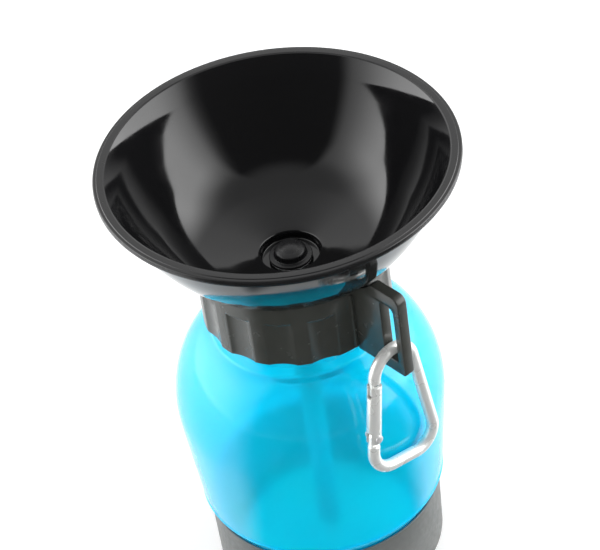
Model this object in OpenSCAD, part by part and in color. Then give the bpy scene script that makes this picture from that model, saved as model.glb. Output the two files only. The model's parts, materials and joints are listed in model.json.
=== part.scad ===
// Dog travel water bottle: a squeeze bottle in a base ring, with a drinking bowl
// held on the neck by a screw collar that carries a carabiner.
// Origin: centre of the base ring's underside. +Z is up and the collar's lug points along +X.

/* [Base ring] */
// Height of the base ring
base_height = 33.3; // [28:0.1:38]
// How far the ring's upper edge stays inside the bottle's lower edge
base_inset = 2.23; // [1.4:0.01:3.4]
// How much narrower the ring is at its foot than at its upper edge
base_draft = 0.7; // [0:0.1:2]
// Wall of the ring at its upper edge
base_wall = 1.8; // [1.4:0.1:2.6]
// Thickness of the flange that the bottle stands on
foot_t = 2.4; // [1.8:0.1:3.6]
// Width of the flange under the bottle
foot_w = 9.2; // [6:0.1:16]
// Height of the snap bead above the flange
snap_height = 17; // [10:0.5:22]
// How far the snap bead stands out of the bottle
snap_depth = 0.45; // [0.2:0.05:0.7]

/* [Bottle] */
// Largest radius of the bottle
belly_r = 55.8; // [53:0.1:60]
// Height of the widest place above the base ring
belly_rise = 52.3; // [46:0.1:60]
// How fast the lower body narrows, in mm of radius per mm of height
belly_taper = 0.105; // [0.06:0.005:0.12]
// Height of the full shoulder curve above the widest place
shoulder_rise = 42; // [36:0.5:50]
// Radius at which the shoulder curve would lie level
shoulder_core_r = 24; // [18:0.5:28]
// Wall of the bottle
bottle_wall = 1.6; // [1.2:0.1:2.2]
// Radius of the rounded lower edge of the body
heel_r = 4; // [2.5:0.1:6]
// Rise of the pushed up middle of the bottle's floor
push_up = 2.5; // [1:0.1:6]

/* [Neck] */
// Outside radius of the neck between its threads
neck_r = 33.8; // [32.6:0.1:34.4]
// Wall of the neck
neck_wall = 1.8; // [1.4:0.1:2.4]
// Length of the neck from its ledge to its mouth
neck_length = 23.8; // [21:0.1:30]
// How far the ledge stands out from the neck
ledge_step = 2.5; // [1.5:0.1:3]
// Height of the plain band below the ledge
ledge_height = 5.5; // [4:0.1:8]

/* [Thread] */
// Rise of the thread in one turn
thread_lead = 5; // [4:0.1:6]
// Length of the thread in degrees
thread_sweep = 450; // [360:15:450]
// Height of a thread ridge above its wall
thread_height = 1.1; // [0.8:0.05:1.3]
// Width of a ridge at its root
thread_root_w = 1.9; // [1.4:0.05:2.1]
// Width of a ridge at its crest
thread_crest_w = 1.0; // [0.6:0.05:1.2]
// Gap between a crest and the opposite wall
thread_gap = 0.3; // [0.2:0.05:0.5]

/* [Collar] */
// Wall of the collar outside its bore
collar_wall = 3.7; // [3.3:0.1:6]
// Thickness of the flange that holds the bowl down
flange_t = 2.6; // [2:0.1:3.4]
// How far the collar's rim reaches up round the bowl
collar_rim = 2.4; // [1:0.1:3]
// Wall of the collar's rim at its top
collar_rim_wall = 2.2; // [1.8:0.1:3]
// How much thicker the rim's wall is at its foot
rim_flare = 2; // [0.5:0.1:3]
// Gap between the collar's lower edge and the neck's ledge
skirt_gap = 2.2; // [1:0.1:4]
// Number of places round the collar, one of them taken by the lug
flute_count = 14; // [10:1:18]
// Width of one flute in degrees
flute_angle = 17; // [10:0.5:18]
// Depth of a flute at its middle
flute_depth = 1.3; // [0.8:0.05:1.4]
// Height of the plain band above the flutes
flute_band = 8.6; // [6:0.1:12]
// Radius of the collar's rounded outer edges
collar_round = 1.1; // [0.5:0.1:1.6]

/* [Lug] */
// Length of the lug outside the collar
lug_length = 26.1; // [24:0.1:33]
// Thickness of the lug
lug_t = 4.8; // [3.6:0.1:5]
// How far the lug hangs below the collar
lug_drop = 1.6; // [0:0.1:2]
// Height of the lug's top above the bowl's seat
lug_rise = 9.8; // [6:0.1:12]
// Play of the carabiner's rod across the slot
slot_play = 2; // [1.9:0.1:4]
// Thickness of the lug outside the slot
slot_post = 3.7; // [2.5:0.1:5]
// Thickness of the lug above the slot
slot_top = 6.3; // [4:0.1:9]
// Thickness of the lug below the slot
slot_bar = 6.2; // [5:0.1:8]
// Radius of the lug's upper outer corner
lug_corner = 4.6; // [2:0.1:5]
// Gap kept between the lug and the bowl above it
lug_gap = 1.4; // [0.8:0.1:2.5]

/* [Bowl] */
// Outside radius of the rim
rim_r = 72.5; // [70:0.1:78]
// Width of the rim from its inner edge to its outer face
rim_w = 4.6; // [3.4:0.1:6]
// Depth of the bowl from the lip to the edge of its well
bowl_depth = 46.8; // [42:0.1:54]
// Wall of the bowl
bowl_wall = 2.3; // [1.8:0.1:3]
// Slope of the side of the bowl in degrees
side_slope = 61; // [56:0.5:66]
// Slope of the floor of the bowl in degrees
floor_slope = 14; // [8:0.5:18]
// Radius of the curve between the side and the floor
bowl_curve_r = 32; // [20:0.5:36]
// Height of the bead round the rim
bead_height = 3.6; // [2.5:0.1:5]
// Gap between the valve's disc and the wall of the well
well_gap = 3.2; // [2.2:0.1:5]
// Depth of the well
well_depth = 4.3; // [3.6:0.1:6]
// How far the collar's flange reaches in to the bowl's spigot
flange_reach = 8.3; // [7:0.1:11]
// Wall of the spigot
spigot_wall = 3.4; // [2.6:0.1:4.5]
// Gap between the collar's rim and the ring that the bowl seats on
seat_inset = 1.7; // [1:0.1:4]
// How far the edge of the well lies below the seat
well_edge_drop = 0.8; // [0.4:0.1:1.6]
// Gap between the turning collar and the spigot
turn_gap = 0.08; // [0.02:0.01:0.1]
// Play of the collar's flange along the axis
flange_play = 0.1; // [0.05:0.01:0.2]

/* [Clamp ring and gasket] */
// Thickness of the clamp ring
clamp_t = 2.4; // [1.8:0.1:3.2]
// How deep the clamp ring's seat is cut into the spigot
clamp_step = 1.5; // [0.8:0.1:2]
// Gap round the clamp ring
clamp_gap = 0.05; // [0.02:0.01:0.1]
// Thickness of the gasket
gasket_t = 1.8; // [1.2:0.1:2.6]
// Width of the gasket
gasket_w = 6.6; // [4:0.1:7]

/* [Valve] */
// Radius of the knob
knob_r = 6.4; // [5:0.1:7.5]
// Height of the knob above its disc
knob_height = 4.1; // [3:0.1:7]
// How far the valve's disc reaches past its water holes
disc_margin = 1.2; // [0.8:0.1:2]
// Thickness of the disc
disc_t = 1.2; // [0.8:0.1:1.6]
// Thickness of the seal under the disc
seal_t = 0.8; // [0.5:0.1:1.4]
// Lift of the valve
valve_lift = 5; // [3:0.1:6]
// Radius of the stem
stem_r = 2.5; // [2.2:0.05:2.8]
// Gap between the stem and its guide
stem_gap = 0.06; // [0.02:0.01:0.1]
// Wall of the stem's guide
guide_wall = 1.64; // [1.2:0.02:2]
// Length of the guide below the well
guide_length = 4.7; // [4:0.1:7]
// Radius of one water hole
water_hole_r = 1.5; // [1:0.05:1.6]
// Number of water holes
water_holes = 6; // [4:1:7]
// Gap between the guide and the water holes round it
hole_margin = 0.4; // [0.2:0.05:0.8]
// Thickness of the rubber ring on the stem
ring_section = 1.0; // [0.8:0.05:1.2]
// How far the stem's retaining clip stands out from the stem
clip_step = 1.6; // [1:0.1:2]
// Thickness of the retaining clip
clip_t = 1.0; // [0.6:0.1:1.4]

/* [Dip tube] */
// Wall of the dip tube
tube_wall = 1.3; // [0.9:0.1:2]
// Bore radius of the dip tube
tube_bore_r = 3.5; // [3.2:0.05:3.8]
// Length of the nipple inside the dip tube
nipple_length = 14; // [10:0.5:18]
// Gap between the nipple and the tube
nipple_gap = 0.05; // [0.02:0.01:0.1]
// Wall of the tube holder
holder_wall = 1.4; // [1:0.1:2]
// Gap between the tube's lower end and the bottle's floor
tube_foot_gap = 2; // [1:0.5:12]
// Width of the notch at the tube's lower end
tube_notch = 4; // [2:0.1:6]

/* [Carabiner] */
// Radius of the carabiner's rod
rod_r = 2.5; // [2.2:0.05:2.6]
// Radius of its top bend
top_bend_r = 10.4; // [10:0.1:13]
// Sideways offset of the top bend
top_offset = 2; // [1:0.1:2.5]
// Lean of the gate in degrees
gate_lean = 9.5; // [4:0.5:11]
// Lean of the spine in degrees
spine_lean = 8; // [5:0.5:11]
// Straight length of the spine
spine_length = 40; // [38:0.5:52]
// Radius of the bend below the spine
spine_bend_r = 9; // [6:0.1:10]
// Radius of the bend below the gate
gate_bend_r = 11; // [8:0.1:12]
// Rise of the bottom bar towards the gate in degrees
bottom_rise = 11; // [0:0.2:12]
// Gap between the bottle's belly and the hanging carabiner
hang_gap = 0.45; // [0.3:0.05:2]
// Gap between the carabiner and the bar that it hangs on
bar_gap = 0.3; // [0.2:0.05:0.6]

/* [Gate] */
// How much the gate's sleeve stands out past the rod
gate_step = 0.5; // [0.3:0.05:0.8]
// Radius of the bore in the sleeve
gate_bore_r = 1.5; // [1.2:0.05:1.7]
// Radius of the hinge rivet
rivet_r = 1.2; // [1:0.05:1.3]
// Radius of the rivet's heads
rivet_head_r = 1.7; // [1.5:0.05:2]
// Radius of the pin at the nose
pin_r = 0.9; // [0.7:0.05:1]
// Gap between a rivet or pin and its hole
pivot_gap = 0.05; // [0.02:0.01:0.1]
// Thickness of the flat tang at the hinge
tang_t = 2.2; // [1.8:0.1:2.4]
// Gap between a flat and the slot that it sits in
slot_gap = 0.2; // [0.15:0.05:0.3]
// Thickness of the flat tongue at the nose
tongue_t = 1.8; // [1.4:0.1:2]
// Radius of the wire of the gate's spring
spring_wire_r = 0.4; // [0.3:0.05:0.45]

/* [Hidden] */
$fn = 96;
arc_steps = 10;
over = 1;
chamfer = 0.6;

// colours
bottle_blue = [0.0, 0.72, 0.88];
dark_grey = [0.27, 0.27, 0.27];
warm_grey = [0.23, 0.22, 0.21];
gloss_black = [0.05, 0.05, 0.055];
seal_grey = [0.75, 0.76, 0.77];
tube_clear = [0.86, 0.90, 0.92];
steel = [0.62, 0.63, 0.65];
silver = [0.82, 0.82, 0.83];

// heights, from the ground up
fit_gap = 0.15;
body_gap = 0.4;
body_h = base_height + body_gap;
belly_h = body_h + belly_rise;
ledge_r = neck_r + ledge_step;
collar_bore_r = neck_r + thread_height + thread_gap;
collar_r = collar_bore_r + collar_wall;
rim_in_r = collar_r - collar_rim_wall;
seat_r = rim_in_r - rim_flare - seat_inset;
shoulder_end_h = belly_h + shoulder_height(ledge_r);
ledge_h = shoulder_end_h + ledge_height;
mouth_h = ledge_h + neck_length;
clamp_h = mouth_h + gasket_t;
flange_h = clamp_h + clamp_t + flange_play;
flange_top_h = flange_h + flange_t;
seat_h = flange_top_h + flange_play;
well_h = seat_h - well_edge_drop;
lip_h = well_h + bowl_depth;
skirt_h = ledge_h + skirt_gap;
collar_top_h = flange_top_h + collar_rim;

// base ring and bottle foot
base_top_r = body_radius(body_h + heel_r) - base_inset;
base_foot_r = base_top_r - base_draft;
foot_inner_r = base_foot_r - foot_w;
plug_r = base_top_r - base_wall - fit_gap - snap_depth;
base_inner_r = plug_r + fit_gap;
plug_heel = 2.6;
bead_half = 1.2;
foot_round = 1.6;
rim_round = 0.5;
snap_h = foot_t + snap_height;

// thread
thread_step = 15;
thread_taper = 30;
thread_bite = 0.5;
neck_thread_h = skirt_h + 1.5 + thread_lead / 2 + thread_root_w / 2;

// collar and lug
flute_cut_r = flute_cutter(collar_r, flute_depth, flute_angle / 2);
flute_h = collar_top_h - flute_band;
skirt_round = 0.7;
lug_bead_r = 0.9;
lug_bead_angle = 5.6;
lug_bead_gap = 0.5;
lug_root_x = rim_in_r;
lug_root_gap = 1;
lug_top_inset = 4;
lug_h = skirt_h - lug_drop;
lug_top_h = seat_h + lug_rise;
lug_reach = collar_r + lug_length;
slot_outer_x = lug_reach - slot_post;
slot_inner_x = slot_outer_x - slot_play - 2 * rod_r;
slot_h = lug_h + slot_bar;
slot_top_h = lug_top_h - slot_top;
slot_round = 1;
slot_corner = 2.6;
lug_small_round = 1.4;

// bowl: meeting point of the side and the floor, and the curve between them
lip_chamfer = 0.4;
bead_round = 1.2;
stem_guide_r = stem_r + stem_gap;
guide_r = stem_guide_r + guide_wall;
water_hole_ring = guide_r + hole_margin + water_hole_r;
disc_r = water_hole_ring + water_hole_r + disc_margin;
well_r = disc_r + well_gap;
well_round = 1.5;
well_edge_r = well_r + well_round;
lip_r = rim_r - rim_w;
meet_r = (lip_r * tan(side_slope) - bowl_depth - well_edge_r * tan(floor_slope))
         / (tan(side_slope) - tan(floor_slope));
curve_reach = bowl_curve_r * tan((side_slope - floor_slope) / 2);
meet_h = well_h + (meet_r - well_edge_r) * tan(floor_slope);
side_end = [meet_r + curve_reach * cos(side_slope), meet_h + curve_reach * sin(side_slope)];
curve_c = side_end + bowl_curve_r * [-sin(side_slope), cos(side_slope)];
outer_curve_r = bowl_curve_r + bowl_wall;
side_outer_r = lip_r + bowl_wall / sin(side_slope);
side_foot = curve_c + outer_curve_r * [sin(side_slope), -cos(side_slope)];
spigot_r = collar_bore_r - flange_reach;
clamp_seat_r = spigot_r - clamp_step;
spigot_inner_r = spigot_r - spigot_wall;
clamp_bead = 0.4;
clamp_bead_h = 0.8;
clamp_bead_gap = 0.1;
spigot_chamfer = 0.3;
spigot_h = clamp_h - clamp_bead_h - 0.5;
well_thinning = 0.4;
well_floor_h = well_h - well_depth;
well_under_h = well_floor_h - bowl_wall;
well_outer_r = well_r + bowl_wall - well_thinning;
guide_h = well_under_h - guide_length;

// clamp ring, gasket and tube holder
clamp_r = collar_bore_r - thread_height - 0.2;
holder_gap = 0.05;
holder_top_gap = 0.3;
holder_drop = 2.2;
holder_h = well_under_h - holder_drop;
disc_h = well_floor_h + seal_t;
seal_inset = 0.5;
stem_chamfer = 0.4;
disc_chamfer = 0.3;
dome_r = 11;
knob_round = 0.8;
clip_r = stem_r + clip_step;
clip_groove = 0.7;
clip_play = 0.05;
clip_gap = 0.2;
clip_mouth = 2.4;
stem_tip = 1.3;
clip_h = guide_h - valve_lift - clip_gap - clip_t;
stem_h = clip_h - stem_tip;
ring_rise = 1.3;
ring_h = guide_h + ring_rise;
ring_mid_r = stem_r - ring_section / 2;
ring_groove_half = 0.65 * ring_section;
ring_groove_r = ring_mid_r - ring_section / 2 - clip_play;
clip_groove_r = stem_r - clip_groove;
cone_gap = 1.2;
cone_h = stem_h - cone_gap;
cone_r = clip_r + 0.8;
nipple_wall = 0.9;
nipple_r = tube_bore_r - nipple_gap;
nipple_bore_r = nipple_r - nipple_wall;
tube_r = tube_bore_r + tube_wall;
tube_top_h = cone_h - holder_wall;
tube_foot_h = foot_t + push_up + bottle_wall + tube_foot_gap;

// carabiner: its bends are a hair thicker than its straights, which run a little way into them
bend_swell = 0.02;
rod_bite = 0.3;

// carabiner, laid out in its own plane: [sideways, up] from the point where it hangs.
// It hangs plumb, or leans out as far as the belly of the bottle pushes it.
side_gap = 0.1;
apex_edge = lug_t / 2 + top_offset;
inner_bend_r = top_bend_r - rod_r;
bend_drop = inner_bend_r - sqrt(pow(inner_bend_r, 2) - pow(apex_edge, 2));
hang_x = slot_inner_x + rod_r + bar_gap + side_gap;
hang_h = slot_h + rod_r + bend_drop + bar_gap;
bend_c = [-top_offset, -top_bend_r];
nose_end = bend_c - top_bend_r * turn_side(gate_lean);
spine_heading = 180 - spine_lean;
spine_top = bend_c - top_bend_r * turn_side(spine_heading);
spine_foot = spine_top + spine_length * turn_ahead(spine_heading);
bottom_heading = 270 + bottom_rise;
bottom_start = spine_foot + spine_bend_r * (turn_side(spine_heading) - turn_side(bottom_heading));
bottom_shift = gate_bend_r * (turn_side(bottom_heading) - turn_side(gate_lean));
bottom_length = -((bottom_start + bottom_shift - nose_end) * turn_side(gate_lean))
                / (turn_ahead(bottom_heading) * turn_side(gate_lean));
gate_foot = bottom_start + bottom_length * turn_ahead(bottom_heading) + bottom_shift;
hang_drop = -(bottom_start[1] + bottom_length * turn_ahead(bottom_heading)[1] / 2);
hang_tilt = max(0, atan((belly_r + rod_r + hang_gap - hang_x) / hang_drop));

// gate: heights along it from the hinge rivet
gate_r = rod_r + gate_step;
tang_foot = 4.2;
tang_half = 2.2;
tang_straight = 3.7;
nose_straight = 1.6;
hinge_point = gate_foot + (tang_straight + tang_foot) * turn_ahead(gate_lean);
gate_span = norm(nose_end - hinge_point);
tongue_top = gate_span - nose_straight;
pin_z = tongue_top - 3.4;
gate_top_z = pin_z + 2.6;
gate_foot_z = -2.6;
tongue_tip_z = pin_z - 2.4;
tongue_half = 2;
notch_half = pin_r + 0.3;
rivet_head_t = 0.5;
gate_round = 0.5;
spring_side = gate_bore_r - spring_wire_r - 0.1;

function shoulder_height(r) =
    shoulder_rise * sqrt(1 - pow((r - shoulder_core_r) / (belly_r - shoulder_core_r), 2));
function shoulder_radius(h) =
    shoulder_core_r + (belly_r - shoulder_core_r) * sqrt(1 - pow((h - belly_h) / shoulder_rise, 2));
function body_radius(h) = belly_r - belly_taper * (sqrt(pow(belly_h - h, 2) + 16) - 4);
function arc(c, r, a0, a1) =
    [for (i = [0 : arc_steps]) let (a = a0 + (a1 - a0) * i / arc_steps) c + r * [cos(a), sin(a)]];
function reversed(list) = [for (i = [len(list) - 1 : -1 : 0]) list[i]];
function unit(v) = v / norm(v);
function left_of(v) = [-v[1], v[0]];
function shifted(pts, d) =
    [for (i = [0 : len(pts) - 1]) pts[i]
        + d * left_of(unit(pts[min(i + 1, len(pts) - 1)] - pts[max(i - 1, 0)]))];
function bowl_under(r) = r < side_foot[0]
    ? curve_c[1] - sqrt(pow(outer_curve_r, 2) - pow(r - curve_c[0], 2))
    : side_foot[1] + (r - side_foot[0]) * tan(side_slope);
function floor_under(r) = well_h + (r - well_edge_r) * tan(floor_slope) - bowl_wall / cos(floor_slope);
function flute_cutter(r, depth, half) =
    (pow(r * sin(half), 2) + pow(depth - r * (1 - cos(half)), 2)) / (2 * (depth - r * (1 - cos(half))));
function turn_ahead(a) = [sin(a), cos(a)];
function turn_side(a) = [cos(a), -sin(a)];
function thread_fade(a) = min(1, 0.15 + min(a, thread_sweep - a) / thread_taper);

// one ridge of a helical thread on a wall of radius r; side is 1 outwards and -1 inwards
module thread_ridge(r, start_h, side) {
    steps = thread_sweep / thread_step;
    section = function (a)
        let (tip = r + side * thread_height * thread_fade(a), root = r - side * thread_bite)
        let (h = start_h + thread_lead * a / 360)
        [[root, h - thread_root_w / 2], [tip, h - thread_crest_w / 2],
         [tip, h + thread_crest_w / 2], [root, h + thread_root_w / 2]];
    points = [for (i = [0 : steps]) let (a = i * thread_step)
              for (p = section(a)) [p[0] * cos(a), p[0] * sin(a), p[1]]];
    sides = [for (i = [0 : steps - 1]) for (k = [0 : 3])
             let (a = 4 * i + k, b = 4 * i + (k + 1) % 4)
             each [[a, b, b + 4], [a, b + 4, a + 4]]];
    last = 4 * steps;
    ends = [[3, 2, 1], [3, 1, 0], [last, last + 1, last + 2], [last, last + 2, last + 3]];
    faces = concat(sides, ends);
    polyhedron(points, side > 0 ? faces : [for (f = faces) reversed(f)]);
}

module bottle() {
    heel_c = [body_radius(body_h + heel_r) - heel_r, body_h + heel_r];
    dome = [[0, push_up], [0.5 * plug_r, 0.75 * push_up], [0.78 * plug_r, 0.06 * push_up],
            [0.84 * plug_r, 0]];
    plug = concat(
        [for (p = dome) [p[0], foot_t + p[1]]],
        arc([plug_r - plug_heel, foot_t + plug_heel], plug_heel, -90, 0),
        [[plug_r, snap_h - bead_half], [plug_r + snap_depth, snap_h - bead_half / 2],
         [plug_r + snap_depth, snap_h + bead_half / 2], [plug_r, snap_h + bead_half], [plug_r, body_h]]);
    body = concat(
        arc(heel_c, heel_r, -90, -6),
        [for (i = [1 : 8]) let (h = heel_c[1] + (belly_h - heel_c[1]) * i / 9) [body_radius(h), h]],
        [for (i = [0 : 14]) let (h = belly_h + (shoulder_end_h - belly_h) * sin(90 * i / 14))
            [shoulder_radius(h), h]]);
    outer = concat(plug, body, [[ledge_r, ledge_h - chamfer], [ledge_r - chamfer, ledge_h], [neck_r, ledge_h],
                   [neck_r, mouth_h - lip_chamfer], [neck_r - lip_chamfer, mouth_h]]);
    inner_plug_r = plug_r - bottle_wall;
    inner = concat(
        [[neck_r - neck_wall, mouth_h], [neck_r - neck_wall, ledge_h]],
        reversed(shifted(body, bottle_wall)),
        [[inner_plug_r, body_h - chamfer], [inner_plug_r, foot_t + plug_heel]],
        [for (p = reversed(dome)) [p[0], foot_t + bottle_wall + p[1]]]);
    color(bottle_blue, 0.85) {
        rotate_extrude() polygon(concat(outer, inner));
        thread_ridge(neck_r, neck_thread_h, 1);
    }
}

module base_ring() {
    groove_r = base_inner_r + snap_depth;
    color(dark_grey) rotate_extrude() polygon(concat(
        [[foot_inner_r, foot_t], [foot_inner_r, chamfer], [foot_inner_r + chamfer, 0]],
        arc([base_foot_r - foot_round, foot_round], foot_round, -90, 0),
        arc([base_top_r - rim_round, base_height - rim_round], rim_round, 0, 90),
        [[base_inner_r + rim_round, base_height], [base_inner_r, base_height - rim_round],
         [base_inner_r, snap_h + bead_half], [groove_r, snap_h + bead_half / 2],
         [groove_r, snap_h - bead_half / 2], [base_inner_r, snap_h - bead_half],
         [base_inner_r, foot_t]]));
}

module neck_gasket() {
    color(seal_grey) translate([0, 0, mouth_h]) difference() {
        cylinder(r = clamp_r, h = gasket_t);
        translate([0, 0, -over]) cylinder(r = clamp_r - gasket_w, h = gasket_t + 2 * over);
    }
}

module bowl() {
    inside = concat(
        [[stem_guide_r, well_floor_h], [well_r - chamfer, well_floor_h], [well_r, well_floor_h + chamfer]],
        arc([well_edge_r, well_h - well_round], well_round, 180, 90),
        arc(curve_c, bowl_curve_r, floor_slope - 90, side_slope - 90),
        [[lip_r, lip_h - lip_chamfer], [lip_r + lip_chamfer, lip_h]]);
    rim = concat(
        arc([rim_r - bead_round, lip_h - bead_round], bead_round, 90, 0),
        [[rim_r, lip_h - bead_height + chamfer], [rim_r - chamfer, lip_h - bead_height],
         [side_outer_r - bead_height / tan(side_slope), lip_h - bead_height]]);
    outside = concat(
        arc(curve_c, outer_curve_r, side_slope - 90, asin((seat_r - curve_c[0]) / outer_curve_r) - 90),
        [[seat_r, seat_h], [spigot_r, seat_h], [spigot_r, clamp_h + clamp_t],
         [clamp_seat_r, clamp_h + clamp_t], [clamp_seat_r, clamp_h],
         [clamp_seat_r + clamp_bead, clamp_h - clamp_bead_gap], [clamp_seat_r, clamp_h - clamp_bead_h],
         [clamp_seat_r - spigot_chamfer, spigot_h], [spigot_inner_r, spigot_h],
         [spigot_inner_r, floor_under(spigot_inner_r)], [well_outer_r, floor_under(well_outer_r)],
         [well_outer_r, well_under_h], [guide_r, well_under_h], [guide_r, guide_h],
         [stem_guide_r, guide_h]]);
    color(gloss_black) difference() {
        rotate_extrude() polygon(concat(inside, rim, outside));
        for (i = [0 : water_holes - 1]) rotate(i * 360 / water_holes)
            translate([water_hole_ring, 0, well_under_h - over])
                cylinder(r = water_hole_r, h = bowl_wall + 2 * over, $fn = 32);
    }
}

module clamp_ring() {
    color(gloss_black) translate([0, 0, clamp_h]) difference() {
        cylinder(r = clamp_r, h = clamp_t);
        translate([0, 0, -over]) cylinder(r = clamp_seat_r + clamp_gap, h = clamp_t + 2 * over);
    }
}

module tube_holder() {
    skirt_r = well_outer_r + holder_gap;
    top_h = floor_under(well_outer_r) - holder_top_gap;
    color(gloss_black) rotate_extrude() polygon([
        [skirt_r, top_h], [skirt_r + holder_wall, top_h], [skirt_r + holder_wall, holder_h],
        [cone_r + holder_wall, cone_h], [cone_r + holder_wall, tube_top_h], [nipple_r, tube_top_h],
        [nipple_r, tube_top_h - nipple_length], [nipple_bore_r, tube_top_h - nipple_length],
        [nipple_bore_r, cone_h], [cone_r, cone_h], [skirt_r, holder_h + chamfer]]);
}

module dip_tube() {
    length = tube_top_h - tube_foot_h;
    color(tube_clear) translate([0, 0, tube_foot_h]) difference() {
        cylinder(r = tube_r, h = length);
        translate([0, 0, -over]) cylinder(r = tube_bore_r, h = length + 2 * over);
        rotate([90, 0, 0]) rotate(45)
            cube([tube_notch / sqrt(2), tube_notch / sqrt(2), 4 * tube_r], center = true);
    }
}

module valve_knob() {
    top_h = disc_h + disc_t + knob_height;
    dome_c = [0, top_h - dome_r];
    edge = knob_r - knob_round;
    edge_h = dome_c[1] + sqrt(pow(dome_r, 2) - pow(edge, 2));
    color(gloss_black) rotate_extrude() polygon(concat(
        [[0, stem_h], [stem_r - stem_chamfer, stem_h], [stem_r, stem_h + stem_chamfer],
         [stem_r, clip_h - clip_play], [clip_groove_r, clip_h - clip_play],
         [clip_groove_r, clip_h + clip_t + clip_play], [stem_r, clip_h + clip_t + clip_play],
         [stem_r, ring_h - ring_groove_half], [ring_groove_r, ring_h - ring_groove_half],
         [ring_groove_r, ring_h + ring_groove_half], [stem_r, ring_h + ring_groove_half],
         [stem_r, disc_h], [disc_r - disc_chamfer, disc_h], [disc_r, disc_h + disc_chamfer],
         [disc_r, disc_h + disc_t - disc_chamfer], [disc_r - disc_chamfer, disc_h + disc_t],
         [knob_r, disc_h + disc_t]],
        arc([edge, edge_h - knob_round], knob_round, 0, 60),
        [for (i = [0 : 6]) let (x = edge * (1 - i / 6)) [x, dome_c[1] + sqrt(pow(dome_r, 2) - pow(x, 2))]]));
}

module valve_seal() {
    color(seal_grey) translate([0, 0, well_floor_h]) difference() {
        cylinder(r = disc_r - seal_inset, h = seal_t);
        translate([0, 0, -over]) cylinder(r = stem_guide_r, h = seal_t + 2 * over);
    }
}

module stem_ring() {
    color(warm_grey) rotate_extrude() translate([ring_mid_r, ring_h]) circle(d = ring_section, $fn = 32);
}

module stem_clip() {
    color(steel) translate([0, 0, clip_h]) difference() {
        cylinder(r = clip_r, h = clip_t);
        translate([0, 0, -over]) cylinder(r = clip_groove_r + clip_play, h = clip_t + 2 * over);
        translate([0, -clip_mouth / 2, -over]) cube([clip_r + over, clip_mouth, clip_t + 2 * over]);
    }
}

module collar_shell() {
    rotate_extrude() polygon(concat(
        [[collar_bore_r, skirt_h + skirt_round], [collar_bore_r + skirt_round, skirt_h]],
        arc([collar_r - skirt_round, skirt_h + skirt_round], skirt_round, -90, 0),
        arc([collar_r - collar_round, collar_top_h - collar_round], collar_round, 0, 90),
        [[rim_in_r, collar_top_h], [rim_in_r - rim_flare, flange_top_h], [spigot_r + turn_gap, flange_top_h],
         [spigot_r + turn_gap, flange_h], [collar_bore_r, flange_h]]));
}

module lug_outline() {
    flat_end = slot_outer_x - lug_top_inset;
    difference() {
        polygon(concat(
            [[lug_root_x, skirt_h + lug_root_gap], [collar_r - lug_root_gap / 2, lug_h]],
            arc([lug_reach - lug_small_round, lug_h + lug_small_round], lug_small_round, -90, 0),
            arc([lug_reach - lug_corner, lug_top_h - lug_corner], lug_corner, 0, 90),
            [for (i = [0 : 7]) let (x = flat_end - (flat_end - collar_r) * i / 7)
                [x, min(lug_top_h, bowl_under(x) - lug_gap)]],
            [[lug_root_x, flange_top_h]]));
        slot_outline();
    }
}

module slot_outline() {
    polygon(concat(
        arc([slot_inner_x + slot_round, slot_h + slot_round], slot_round, 180, 270),
        arc([slot_outer_x - slot_round, slot_h + slot_round], slot_round, 270, 360),
        arc([slot_outer_x - slot_corner, slot_top_h - slot_corner], slot_corner, 0, 90),
        arc([slot_inner_x + slot_round, slot_top_h - slot_round], slot_round, 90, 180)));
}

module collar() {
    pitch = 360 / flute_count;
    color(warm_grey) {
        difference() {
            collar_shell();
            for (i = [1 : flute_count - 1]) rotate(i * pitch)
                translate([collar_r - flute_depth + flute_cut_r, 0, skirt_h - over])
                    cylinder(r = flute_cut_r, h = flute_h - skirt_h + over);
        }
        translate([0, lug_t / 2, 0]) rotate([90, 0, 0]) linear_extrude(lug_t) lug_outline();
        for (side = [-1, 1]) rotate(side * lug_bead_angle)
            translate([collar_r - lug_bead_r / 3, 0, skirt_h + lug_bead_gap])
                cylinder(r = lug_bead_r, h = flange_top_h - skirt_h - 2 * lug_bead_gap, $fn = 24);
        thread_ridge(collar_bore_r, neck_thread_h - thread_lead / 2, -1);
    }
}

// puts the carabiner's own plane in place: hanging in the slot and leaning on nothing
module hang() {
    translate([hang_x, 0, hang_h]) rotate([0, -hang_tilt, 0]) children();
}

// moves to the hinge rivet, with +Z along the closed gate
module at_hinge() {
    hang() translate([0, hinge_point[0], hinge_point[1]]) rotate([-gate_lean, 0, 0]) children();
}

// round rod bent towards +Y, then whatever follows it
module bend(r, angle) {
    translate([0, r, 0]) rotate([90, 0, -90]) rotate_extrude(angle = angle)
        translate([r, 0]) circle(r = rod_r + bend_swell, $fn = 48);
    translate([0, r * (1 - cos(angle)), r * sin(angle)]) rotate([-angle, 0, 0]) children();
}

module straight(length) {
    translate([0, 0, -rod_bite]) cylinder(r = rod_r, h = length + 2 * rod_bite, $fn = 48);
    translate([0, 0, length]) children();
}

module flat_bar(thickness, half, z0, z1) {
    translate([-thickness / 2, -half, z0]) cube([thickness, 2 * half, z1 - z0]);
}

module cross_pin(r, half, z) {
    translate([-half, 0, z]) rotate([0, 90, 0]) cylinder(r = r, h = 2 * half, $fn = 32);
}

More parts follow.
